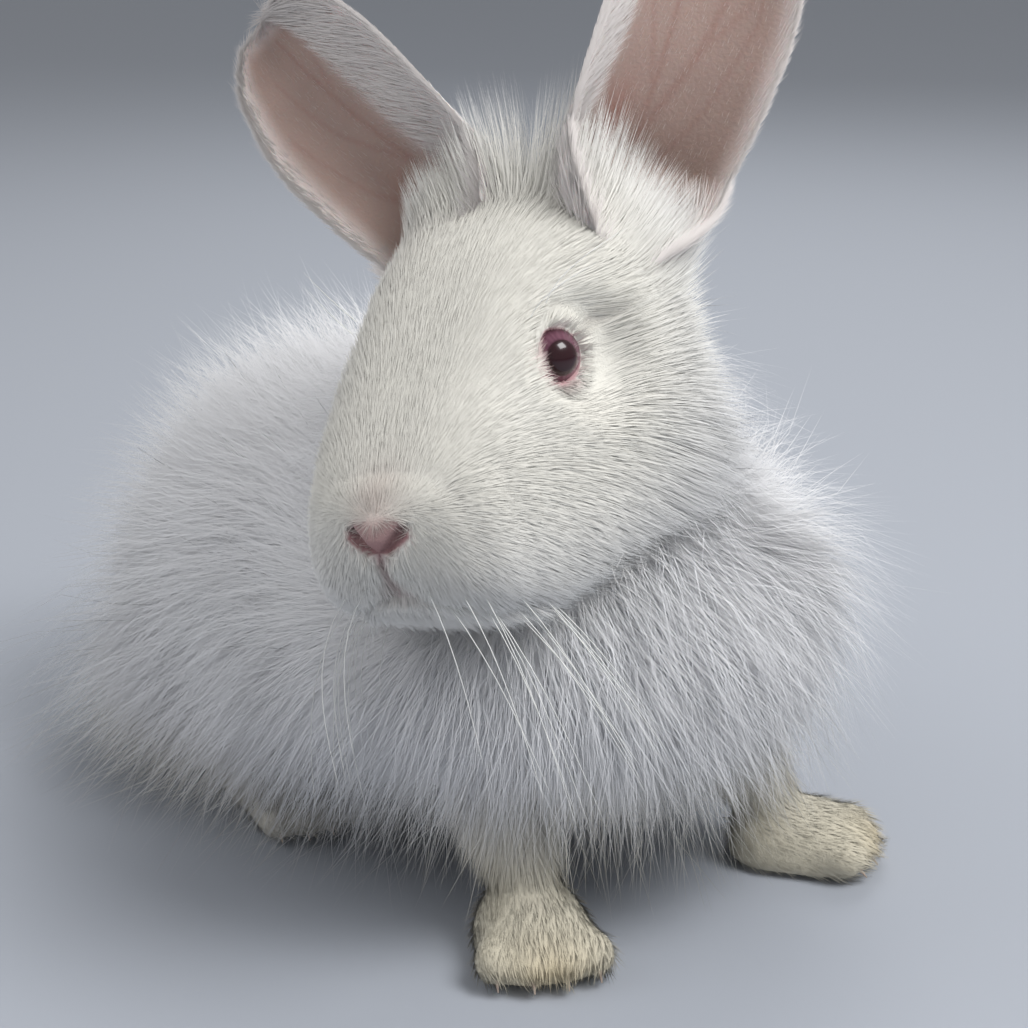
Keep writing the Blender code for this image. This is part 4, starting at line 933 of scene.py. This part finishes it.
def face_lie(head, normals):
    """The way face fur lies, in the head's frame: back from the nose, down on the cheeks, up at the crown.

    Round each eye it turns away from the lids.
    """
    x, y, z = np.moveaxis(head, -1, 0)
    side = np.sign(x) * smooth_step(np.abs(x), 0.004, 0.030)
    low = smooth_step(-z, 0.0, 0.045)
    crown = smooth_step(z, 0.014, 0.034) * smooth_step(y, 0.015, 0.040)
    lie = np.stack([0.35 * side * (1 - crown), 0.95 - 0.45 * crown, -0.85 * low + 0.9 * crown], -1)
    near, stand = near_ears(head)
    lie = lie + 1.2 * near[:, None] * stand
    crown = np.maximum(crown, near)
    for mirror in (-1, 1):
        centre, look, along, over = eye_axes(mirror)
        out, past, _ = by_lids(head, mirror)
        away = head - centre
        away = unit(away - (away @ look)[:, None] * look)
        near = bell(np.maximum(past, 0), 0.0034) * (out > 0)
        lie = lie + near[:, None] * away
    lie = lie - normals * (lie * normals).sum(-1, keepdims=True) * (1 - 0.8 * crown)[:, None]
    return unit(lie)


def face_length(head):
    """Length of the face fur: 3 mm on the muzzle, growing to cheeks, nape and the tuft of the crown."""
    x, y, z = np.moveaxis(head, -1, 0)
    length = through(FUR_Y, FUR_LENGTH, y)
    cheek = smooth_step(-z, 0.010, 0.045) * smooth_step(y, -0.050, 0.005)
    jaw = smooth_step(-z - 0.28 * (y + 0.05), 0.038, 0.054) * smooth_step(y, -0.060, -0.045)
    length = length + 0.012 * cheek + 0.008 * jaw + 0.003 * near_ears(head)[0]
    crown = smooth_step(z, 0.018, 0.034) * smooth_step(y, 0.020, 0.042)
    crown = crown * (1 - smooth_step(np.abs(x - 0.009), 0.010, 0.026))
    length = length + 0.016 * crown
    for mirror in (-1, 1):
        out, past, _ = by_lids(head, mirror)
        near = bell(np.maximum(past, 0), 0.004) * (out > 0)
        length = length * (1 - 0.36 * near)
    return length


def bare(head):
    """1 where the face is bare: nose leather, mouth line and inside the lids."""
    hidden = np.clip(2 * nose_share(head) - 1, 0, 1)
    hidden = np.maximum(hidden, 1 - smooth_step(distance_to(CLEFT, head), 0.0008, 0.0013))
    front = 1 - smooth_step(np.abs(head[..., 0]), 0.004, 0.008)
    for mirror in (-1, 1):
        out, past, _ = by_lids(head, mirror)
        hidden = np.maximum(hidden, (past < 0.0004) & (out > 0))
        mouth = distance_to(mouth_line(mirror), head)
        hidden = np.maximum(hidden, front * (1 - smooth_step(mouth, 0.0006, 0.0010)))
    return hidden


def face_fur(count, longer, rng):
    """Strands of the face: short straight ones all over, or longer bent ones on cheeks, crown and nape."""
    normals = head_normals(head_points, head_faces)
    head = world_to_head(head_points)
    inside = core_holds(head_points, -0.004)
    dense = 1 + 1.4 * (1 - smooth_step(head[:, 1], -0.060, -0.025))
    dense = dense - 0.40 * smooth_step(head[:, 1], -0.01, 0.05)
    for mirror in (-1, 1):
        out, past, _ = by_lids(head, mirror)
        dense = dense + 1.6 * bell(np.maximum(past, 0), 0.006) * (out > 0)
    if longer:
        dense = smooth_step(face_length(head), 0.0085, 0.0140)
    weights = (1 - bare(head)) * dense * ~inside
    chosen, share = on_mesh(head_points, head_faces, weights, count, rng)
    roots = read_off(head_points, head_faces, chosen, share)
    normals = unit(read_off(normals, head_faces, chosen, share))
    place = world_to_head(roots)
    own = normals @ head_axes
    lies = face_lie(place, own) @ head_axes.T
    lengths = face_length(place) * rng.uniform(0.70, 1.25, count)
    rises = 22 - 12 * smooth_step(lengths, 0.004, 0.010) + 34 * smooth_step(lengths, 0.019, 0.034)
    under = smooth_step(-own[:, 2], 0.05, 0.60) * smooth_step(np.abs(place[:, 1] + 0.010), 0.0, 0.030)
    rises = rises + 24 * smooth_step(place[:, 1], 0.012, 0.048) + 22 * under
    rises = np.radians(rises) * rng.uniform(0.6, 1.4, count)
    shares = np.array([0, 0.5, 1.0]) if longer else np.array([0, 1.0])
    paths = bent_paths(roots - normals * 0.0002, normals, lies, lengths, rises, 0.09, shares, rng)
    widths = FACE_HAIR_WIDTH * rng.uniform(0.8, 1.2, count) * (0.8 if longer else 1.0)
    bake = rounded_unwrap(place, np.array([0, 0, -0.014]), np.array([0.0, 1.0, 0.0]))
    part = strands(paths, normals, widths, bake, 0.93)
    return part, hair_tint(part[0], face_tint)


def hair_tint(points, rule):
    """The colour of each hair point, a little lighter than the skin that it grows on."""
    return mixed(rule(points), linear(FACE_WHITE), np.full(len(points), 0.25))


# Face hair: smooth and a little shiny, so that it lights up along the lie.
face_material = coat_material("face_hair", 0.42, 0.020, 0.08, 0.20)
for i, count in enumerate((SHORT_FACE_HAIRS, SHORT_FACE_HAIRS, LONG_FACE_HAIRS)):
    part, tint = face_fur(count, i == 2, np.random.default_rng(11 + i))
    furred("face_fur_" + "abc"[i], face_material, part, tint)


# Ear fur: a short nap over the back and the rim of each leaf, longer on the bands along the edges of
# the cup, where it brushes over the bare skin, and long wisps at the root.

EAR_HAIRS = {"left": 15000, "right": 15000}
EAR_HAIR_WIDTH = 0.00030
EAR_NAP = 0.0032
EAR_FRINGE = 0.0100


def ear_frame(side_name, share, across, inner):
    """Places on one face of an ear with the ways out of it, along it and across it, by small steps."""
    small = 0.004
    here = ear_surface(side_name, share, across, inner)
    along = unit(ear_surface(side_name, np.minimum(share + small, 1), across, inner) - here + 1e-9)
    step = np.where(across > 0.9, -small, small)
    over = (ear_surface(side_name, share, across + step, inner) - here) * np.sign(step)[:, None]
    over = unit(over)
    out = unit(np.cross(along, over))
    lifted = ear_surface(side_name, share, across, inner, 0.001) - here
    out = out * np.sign((out * lifted).sum(-1, keepdims=True) + 1e-12)
    return here, out, along, over


def ear_fur(side_name, count, rng):
    """Strands of one ear: half of them on the back, the rest on the bands and the root of the cup."""
    share = 0.985 * (1 - (1 - rng.random(count * 3)) ** 1.1)
    across = rng.uniform(-1, 1, count * 3)
    rim = np.sign(across) * (1 - 0.08 * rng.random(count * 3) ** 2)
    across = np.where(rng.random(count * 3) < 0.22, rim, across)
    inner = rng.random(count * 3) < 0.55
    hairy = ear_hairy(side_name, np.stack([across, share], -1))
    low = 1 - smooth_step(share, 0.05, 0.35)
    edge = smooth_step(np.abs(across), 0.80, 0.95)
    odds = np.where(inner, np.maximum(hairy, 0.25), 0.45 + 0.55 * np.maximum(low, edge))
    kept = np.flatnonzero(rng.random(count * 3) < odds)[:count]
    share, across, inner, hairy = share[kept], across[kept], inner[kept], hairy[kept]
    root = np.zeros((len(kept), 3))
    out, along, over = root.copy(), root.copy(), root.copy()
    for face in (False, True):
        on = inner == face
        root[on], out[on], along[on], over[on] = ear_frame(side_name, share[on], across[on], face)
    low = 1 - smooth_step(share, 0.05, 0.35)
    edge = smooth_step(np.abs(across), 0.75, 1.0)
    sign = np.sign(across)
    lies = unit(along + (0.55 * edge * sign - 0.5 * hairy * sign * inner)[:, None] * over)
    lengths = EAR_NAP + (EAR_FRINGE - EAR_NAP) * np.where(inner, hairy * (1 - 0.5 * edge), 0.0)
    lengths = lengths + np.where(inner, 0.004, 0.011) * low
    lengths = lengths * rng.uniform(0.6, 1.25, len(kept))
    rises = np.radians(16 + 14 * hairy * inner) * rng.uniform(0.4, 1.7, len(kept))
    middle = ear_frame(side_name, share, 0 * across, True)[1]
    facing = np.where(inner[:, None], unit(0.3 * out + 0.9 * middle), out)
    sideways = 0.3 * sign[:, None] * over + 0.9 * middle
    facing = unit(facing * (1 - edge)[:, None] + edge[:, None] * sideways)
    paths = bent_paths(root - out * 0.0002, facing, lies, lengths, rises, 0.12, np.array([0, 1.0]), rng)
    widths = EAR_HAIR_WIDTH * rng.uniform(0.75, 1.25, len(kept)) * np.where(inner, 0.5 + 0.5 * hairy, 1.0)
    bake = 0.02 + 0.96 * np.stack([(across + 1) / 4 + 0.5 * inner, share], -1)
    white = np.where(inner, 0.40 + 0.60 * hairy, 1.0).repeat(len(STRAND_SECTION) + 1)
    return strands(paths, facing, widths, bake, 0.85), mixed(linear(EAR_SKIN), linear(EAR_FUR), white)


# Ear hair: silky, nearly white.
ear_hair = coat_material("ear_hair", 0.50, 0.020, 0.04, 0.20)
for seed, side_name in enumerate(("left", "right")):
    part, tint = ear_fur(side_name, EAR_HAIRS[side_name], np.random.default_rng(70 + seed))
    furred("ear_fur_" + side_name, ear_hair, part, tint)


# Feet and forearms: short cream fur that lies down the leg and over the toes, and hides the claws.

LIMB_HAIRS = 22000
LIMB_HAIR_WIDTH = 0.00036
TOE_HAIR = 0.0065
LEG_HAIR = 0.0155


def limb_share(points):
    """1 on the legs and feet, 0 on trunk, neck and tail, by whether the trunk's form holds the point."""
    trunk = core_holds(points, 0.0015)
    neck = distance_to(np.array(NECK_PATH) + shift, points) < 0.058
    tail = np.linalg.norm((points - shift - TAIL_CENTRE) / (np.array(TAIL_RADII) + 0.004), axis=-1) < 1
    return (~(trunk | neck | tail)).astype(float)


def limb_fur(count, rng):
    """Strands of the legs and feet, pointing down on the leg and to the toes on the foot."""
    weights = limb_share(body_points) * (body_points[:, 2] > 0.002)
    chosen, share = on_mesh(body_points, body_faces, weights, count, rng)
    roots = read_off(body_points, body_faces, chosen, share)
    normals = unit(read_off(body_normals, body_faces, chosen, share))
    low = 1 - smooth_step(roots[:, 2], 0.016, 0.034)
    toward = np.where((roots[:, 1] - shift[1] > 0.09)[:, None], AHEAD, 0.0)
    for side_name, (px, py) in PAW_PLACE.items():
        turn = PAW_TURN[side_name]
        near = np.linalg.norm((roots - shift)[:, :2] - (px, py), axis=1) < 0.045
        toward = np.where(near[:, None], np.array([math.sin(turn), -math.cos(turn), 0.0]), toward)
    lies = unit(toward * low[:, None] - UP * (1 - 0.75 * low)[:, None] + 1e-6)
    lies = unit(lies - normals * ((lies * normals).sum(-1, keepdims=True) - 0.10))
    high = smooth_step(roots[:, 2], 0.012, 0.05)
    lengths = (TOE_HAIR + (LEG_HAIR - TOE_HAIR) * high) * rng.uniform(0.6, 1.25, count)
    rises = np.radians(20) * rng.uniform(0.4, 1.6, count)
    roots = roots - normals * 0.0003
    paths = bent_paths(roots, normals, lies, lengths, rises, 0.14, np.array([0, 1.0]), rng)
    paths[..., 2] = np.maximum(paths[..., 2], 0.0006)
    widths = LIMB_HAIR_WIDTH * rng.uniform(0.8, 1.2, count)
    bake = rounded_unwrap(roots, roots.mean(axis=0), np.array([0.0, 0.0, 1.0]))
    return strands(paths, normals, widths, bake, 0.85)


# Foot hair: coarser and duller than the face's.
limb_material = coat_material("foot_hair", 0.55, 0.012, 0.14, 0.15)
furred("foot_fur", limb_material, limb_fur(LIMB_HAIRS, np.random.default_rng(21)))


# Claws: one small curved horn at the end of each toe, almost hidden by the fur.

CLAW_LENGTH = 0.0060
CLAW_RADIUS = 0.0013
CLAW_HORN = "#D8C4B4"


def claw_forms():
    """A tapered tube from each toe's tip, bent down to the floor, closed, in the world."""
    feet = [(PAW_PLACE[name], PAW_TURN[name], PAW_LENGTH, PAW_WIDTH) for name in ("left", "right")]
    for mirror in (1, -1):
        place = (mirror * FOOT_PLACE[0], FOOT_PLACE[1])
        feet.append((place, mirror * FOOT_TURN, FOOT_LENGTH, FOOT_WIDTH))
    share = np.linspace(0, 1, 6)
    forms = []
    for place, turn, length, width in feet:
        turned = np.array(Matrix.Rotation(turn, 3, "Z"))
        for spread in np.linspace(-0.5, 0.5, TOES):
            reach = length * (0.50 - 0.34 * spread**2 * width / length)
            ahead = reach - 0.0045 + CLAW_LENGTH * share
            path = np.stack([spread * width * 0.77 + 0 * share, -ahead, 0.0068 - 0.0048 * share**1.6], -1)
            rings = tube_rings(path, CLAW_RADIUS * (1 - 0.85 * share), 10)
            forms.append(closed_rings(rings @ turned.T + (place[0], place[1], 0.0) + shift))
    return forms


# Claw: smooth pale horn with a faint pink from the quick.
claw_material = coat_material("claw_horn", 0.35, 0.004, 0.10, 0.0)
claw_points, claw_faces = joined(claw_forms())
claws = piece("claws", claw_points, claw_faces, tint=np.broadcast_to(linear(CLAW_HORN), claw_points.shape))
dressed(claws, claw_material)


# Wool: the long angora coat of the body, on trunk, neck and tail. Dense, fine down stands off the skin,
# and longer guard hairs grow through it, bend over under their weight and gather into loose wisps.

DOWN_PIECES = 3
DOWN_HAIRS = 31000
DOWN_LENGTH = 0.025
DOWN_WIDTH = 0.00036
DOWN_SHARES = np.array([0.0, 1.0])
GUARD_PIECES = 2
GUARD_HAIRS = 11500
GUARD_LENGTH = 0.047
GUARD_WIDTH = 0.00022
GUARD_SHARES = np.array([0.0, 0.5, 1.0])
WISPS = 6000
WISP_STRAY = 0.25
WISP_PULL = 0.40
HEM_LONGER = 1.20
HANG_OUT = {"down": 0.42, "guard": 0.42}
STRAY = {"down": 0.14, "guard": 0.22}
HANG_BACK = 0.28
RUFF_OUT = 1.0
WOOL_BEND = 0.85
FRONT_HANG = 2.2
LEAST_OUT = 0.18
TAIL_SHORT = 0.72
TOP_FACING = (0.15, 0.75)
TOP_LIE = np.array([0.0, 1.0, 0.25])
COAT_REACH = (0.0150, 0.0180, 0.0160)


def wool_lie(normals, out):
    """The way the tips lie: back along the top, down and a little out elsewhere, never into the body."""
    ahead = np.clip(-normals[:, 1:2], 0, 1)
    above = np.clip((normals[:, 2:] - TOP_FACING[0]) / (TOP_FACING[1] - TOP_FACING[0]), 0, 1)
    above = above * (1 - np.clip(FRONT_HANG * ahead, 0, 1))
    level = normals * (1, 1, 0)
    down = out[:, None] * level - UP - HANG_BACK * (1 - ahead) * AHEAD
    lie = unit(above * (TOP_LIE + 0.3 * level) + (1 - above) * down)
    outward = (lie * normals).sum(axis=-1, keepdims=True)
    return unit(lie + normals * np.maximum(LEAST_OUT - outward, 0))


def soft_waves(points, scale):
    """A slow, even wander in space: three sine waves that cross one another, one for each axis."""
    p = points / scale
    first = np.sin(p[:, 1] * 1.3 + 2.1 * np.sin(p[:, 2]))
    second = np.sin(p[:, 2] * 1.1 + 1.7 * np.sin(p[:, 0] + 1))
    third = np.sin(p[:, 0] * 1.2 + 1.9 * np.sin(p[:, 1] + 2))
    return np.stack([first, second, third], -1)


def ruff_share(points):
    """1 on the neck and shoulders, where the ruff stands out, 0 behind them."""
    y = points[:, 1] - shift[1]
    z = points[:, 2]
    return smooth_step(z, 0.095, 0.135) * (1 - smooth_step(y, 0.08, 0.14))


def wool_paths(roots, normals, lengths, rng, hang, wobble, shares):
    """Wool middle lines: they leave the skin steeply and bend over to their lie, each a little apart."""
    out = hang + (RUFF_OUT - hang) * ruff_share(roots)
    stray = rng.normal(size=roots.shape) * wobble
    lies = wool_lie(normals, out) + 0.14 * soft_waves(roots, 0.022) + stray
    first = unit(normals + WOOL_BEND * unit(lies) + 0.5 * rng.normal(size=roots.shape) * wobble)
    middle = ((shares[1:] + shares[:-1]) / 2)[None, :, None]
    curl = rng.normal(size=(len(roots), len(shares) - 1, 3)) * wobble * 0.8
    ways = unit((1 - middle) * first[:, None] + middle * unit(lies)[:, None] + curl)
    return laid_out(roots, ways, lengths, shares)


def within_reach(paths):
    """Hairs that would pass the coat's reach, each shortened toward its root by the share that is over."""
    roots = paths[:, :1]
    run = paths[:, 1:] - roots
    limit = np.where(run > 0, np.array(cad_box[1]) + COAT_REACH, np.array(cad_box[0]) - COAT_REACH)
    room = ((limit - roots) / (run + 1e-9 * np.sign(run + 1e-12))).min(axis=(1, 2))
    return roots + (paths - roots) * np.clip(room, 0.2, 1)[:, None, None]


def wool_roots(count, rng):
    """Places on trunk, neck and tail outside the head, with their normals."""
    weights = (1 - limb_share(body_points)) * ~head_holds(body_points, -0.006)
    weights = weights * (1 - 0.75 * smooth_step(-body_normals[:, 2], 0.55, 0.90))
    chosen, share = on_mesh(body_points, body_faces, weights, count, rng)
    roots = read_off(body_points, body_faces, chosen, share)
    return roots, unit(read_off(body_normals, body_faces, chosen, share))


def nearest(points, centres, step=4000):
    """The nearest of the centres to each point, by row."""
    found = []
    for start in range(0, len(points), step):
        part = points[start:start + step]
        away = (part**2).sum(1)[:, None] - 2 * part @ centres.T + (centres**2).sum(1)[None]
        found.append(away.argmin(axis=1))
    return np.concatenate(found)


wisp_rng = np.random.default_rng(31)
wisp_roots, wisp_normals = wool_roots(WISPS, wisp_rng)
wisp_lengths = GUARD_LENGTH * wisp_rng.uniform(0.8, 1.15, WISPS)
wisp_start = (wisp_roots, wisp_normals, wisp_lengths, wisp_rng)
wisp_paths = wool_paths(*wisp_start, HANG_OUT["guard"], WISP_STRAY, GUARD_SHARES)


def wool(kind, count, length, width, shares, rng):
    """Strands of wool. Guard hairs are drawn toward the middle line of their wisp, more so toward the tip."""
    roots, normals = wool_roots(count, rng)
    on_tail = np.linalg.norm((roots - shift - TAIL_CENTRE) / (0.040, 0.050, 0.050), axis=-1)
    spread = (0.80, 1.12) if kind == "down" else (0.60, 1.20)
    lengths = length * rng.uniform(*spread, count)
    lengths = lengths * (TAIL_SHORT + (1 - TAIL_SHORT) * smooth_step(on_tail, 0.6, 1.2))
    hem = (1 - smooth_step(roots[:, 2], 0.030, 0.075)) * smooth_step(roots[:, 1] - shift[1], 0.03, 0.07)
    lengths = lengths * (1 + HEM_LONGER * hem)
    paths = wool_paths(roots - normals * 0.001, normals, lengths, rng, HANG_OUT[kind], STRAY[kind], shares)
    if kind == "guard":
        own = nearest(roots, wisp_roots)
        pull = rng.uniform(0.0, WISP_PULL, count)[:, None, None] * (shares**1.5)[None, :, None]
        paths = paths * (1 - pull) + wisp_paths[own] * pull
    floor = 0.0015 + 0.0012 * rng.random(count)[:, None]
    paths = within_reach(paths)
    paths[..., 2] = np.maximum(paths[..., 2], floor)
    kept = ~head_holds(paths[:, 1:], -0.001).any(axis=1)
    widths = width * rng.uniform(0.75, 1.25, count)
    bake = rounded_unwrap(roots, np.array([0, 0.13, 0.08]) + shift, np.array([0.0, 1.0, 0.0]))
    return strands(paths[kept], normals[kept], widths[kept], bake[kept], 0.94)


# Angora wool: very fine, matt fibre that scatters light and looks soft.
wool_material = coat_material("angora_wool", 0.75, 0.040, 0.06, 0.30)
for i in range(DOWN_PIECES):
    rng = np.random.default_rng(40 + i)
    part = wool("down", DOWN_HAIRS, DOWN_LENGTH, DOWN_WIDTH, DOWN_SHARES, rng)
    furred("down_" + "abc"[i], wool_material, part)
for i in range(GUARD_PIECES):
    rng = np.random.default_rng(50 + i)
    part = wool("guard", GUARD_HAIRS, GUARD_LENGTH, GUARD_WIDTH, GUARD_SHARES, rng)
    furred("guard_wool_" + "ab"[i], wool_material, part)
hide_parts("head", "foreleg_left", "foreleg_right", "front_paw_left", "front_paw_right")
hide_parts("hind_foot_left", "hind_foot_right")
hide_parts("chest", "torso", "rump", "haunch_left", "haunch_right", "tail")


# Whiskers: long, stiff, tapered bristles in the pads beside the nose and over the eyes, which droop and
# fan out under their own weight.

WHISKER_WIDTH = 0.00030
WHISKER_WHITE = "#F6F6F2"
PAD_BRISTLES = 15
BROW_BRISTLES = (0.026, 0.032)
WHISKER_SHARES = np.linspace(0, 1, 9)


def whiskers(mirror, rng):
    """Bristles from both rows of a pad, and two over the eye, that start outward and bend down."""
    count = PAD_BRISTLES
    spread = np.linspace(0, 1, count)
    y = -0.0590 + 0.029 * spread + rng.normal(size=count) * 0.0008
    angle = np.radians(rng.uniform(-72, -44, count))
    pads = head_form(y, angle, -0.001) * (mirror, 1, 1)
    brow = np.array([(0.0300, -0.010, 0.014), (0.0320, -0.004, 0.016)]) * (mirror, 1, 1)
    roots = np.concatenate([pads, brow])
    lengths = 0.038 + 0.036 * np.sin(math.pi * (0.25 + 0.6 * spread)) * rng.uniform(0.6, 1.1, count)
    lengths = np.concatenate([lengths, BROW_BRISTLES])
    start = np.stack([0.62 * mirror + 0 * y, -0.45 + 0.5 * spread, -0.70 + 0 * y], -1)
    start = np.concatenate([start, [(0.5 * mirror, -0.2, 0.7)] * 2])
    end = np.stack([(0.04 + 0.26 * spread) * mirror, -0.05 + 0.35 * spread, -1 + 0 * y], -1)
    end = np.concatenate([end, [(0.7 * mirror, 0.5, 0.3)] * 2])
    t = ((WHISKER_SHARES[1:] + WHISKER_SHARES[:-1]) / 2)[None, :, None]
    bend = 1 - (1 - t) ** 2.2
    ways = (1 - bend) * unit(start)[:, None] + bend * unit(end)[:, None]
    ways = unit(ways + 0.06 * rng.normal(size=(len(roots), 1, 3)))
    paths = head_to_world(laid_out(roots, ways, lengths, WHISKER_SHARES))
    facing = np.broadcast_to(unit(AHEAD + UP * 0.3), (len(roots), 3))
    widths, bake = np.full(len(roots), WHISKER_WIDTH), np.full((len(roots), 2), 0.5)
    return strands(within_reach(paths), facing, widths, bake, 0.3)


# Whisker: horn, white and smooth.
whisker_material = coat_material("whisker_horn", 0.35, 0.020, 0.02, 0.0)
for side_name, mirror in (("left", 1), ("right", -1)):
    part = whiskers(mirror, np.random.default_rng(90 + mirror))
    white = np.broadcast_to(linear(WHISKER_WHITE), part[0].shape)
    furred("whiskers_" + side_name, whisker_material, part, white)


# Floor, light and camera: a plain pale floor, a large soft lamp over the camera's right shoulder, a
# weaker one at the left, one behind for the edge of the coat, and the camera where the photograph was taken.

FLOOR_GREY = "#AAAFB8"
FLOOR_REACH = 12.0
floor_corners = np.array([(-1, -1, 0), (1, -1, 0), (1, 1, 0), (-1, 1, 0)]) * FLOOR_REACH
floor = piece("studio_floor", floor_corners, np.array([(0, 1, 2), (0, 2, 3)]))
floor_material = bpy.data.materials.new("pale_floor")
floor_material.use_nodes = True
floor_shader = floor_material.node_tree.nodes["Principled BSDF"]
floor_shader.inputs["Base Color"].default_value = (*linear(FLOOR_GREY), 1.0)
floor_shader.inputs["Roughness"].default_value = 0.8
floor.data.materials.append(floor_material)

LAMPS = (
    ("key_lamp", (0.85, -0.60, 1.25), 0.8, 21.0),
    ("fill_lamp", (-1.30, -0.20, 0.90), 1.0, 5.0),
    ("rim_lamp", (0.30, 1.30, 1.10), 0.8, 8.0),
)
WORLD_GREY = "#DADBDD"
WORLD_STRENGTH = 0.52
VIEW_AZIMUTH = math.radians(-35)
VIEW_RISE = math.radians(17)
VIEW_SIDE = 0.0515
VIEW_BACK = 0.636
VIEW_HEIGHT = 0.3266
FOCAL_PIXELS = 2267.0
FRAME_PIXELS = 1028.0
to_right = np.array([math.cos(VIEW_AZIMUTH), math.sin(VIEW_AZIMUTH), 0.0])
away_from_view = np.array([-math.sin(VIEW_AZIMUTH), math.cos(VIEW_AZIMUTH), 0.0])
camera_data = bpy.data.cameras.new("camera")
camera_data.sensor_width = 36.0
camera_data.lens = 36.0 * FOCAL_PIXELS / FRAME_PIXELS
camera = bpy.data.objects.new("camera", camera_data)
bpy.context.scene.collection.objects.link(camera)
camera.location = -to_right * VIEW_SIDE - away_from_view * VIEW_BACK + UP * VIEW_HEIGHT + shift
looking_back = Vector(-away_from_view * math.cos(VIEW_RISE) + UP * math.sin(VIEW_RISE))
camera.rotation_euler = looking_back.to_track_quat("Z", "Y").to_euler()
bpy.context.scene.camera = camera


def lamp(name, place, aim, size, power):
    """A square soft lamp at a place, facing a point."""
    data = bpy.data.lights.new(name, "AREA")
    data.size = size
    data.energy = power
    made = bpy.data.objects.new(name, data)
    bpy.context.scene.collection.objects.link(made)
    made.location = place
    made.rotation_euler = Vector(np.asarray(place) - np.asarray(aim)).to_track_quat("Z", "Y").to_euler()
    return made


middle = np.array([0.0, 0.0, 0.14])
for name, (beside, behind, above), size, power in LAMPS:
    place = middle + to_right * beside + away_from_view * behind + UP * above
    lamp(name, place, middle, size, power)
world = bpy.data.worlds.new("studio")
world.use_nodes = True
world.node_tree.nodes["Background"].inputs["Color"].default_value = (*linear(WORLD_GREY), 1.0)
world.node_tree.nodes["Background"].inputs["Strength"].default_value = WORLD_STRENGTH
bpy.context.scene.world = world
bpy.context.scene.view_settings.view_transform = "Standard"
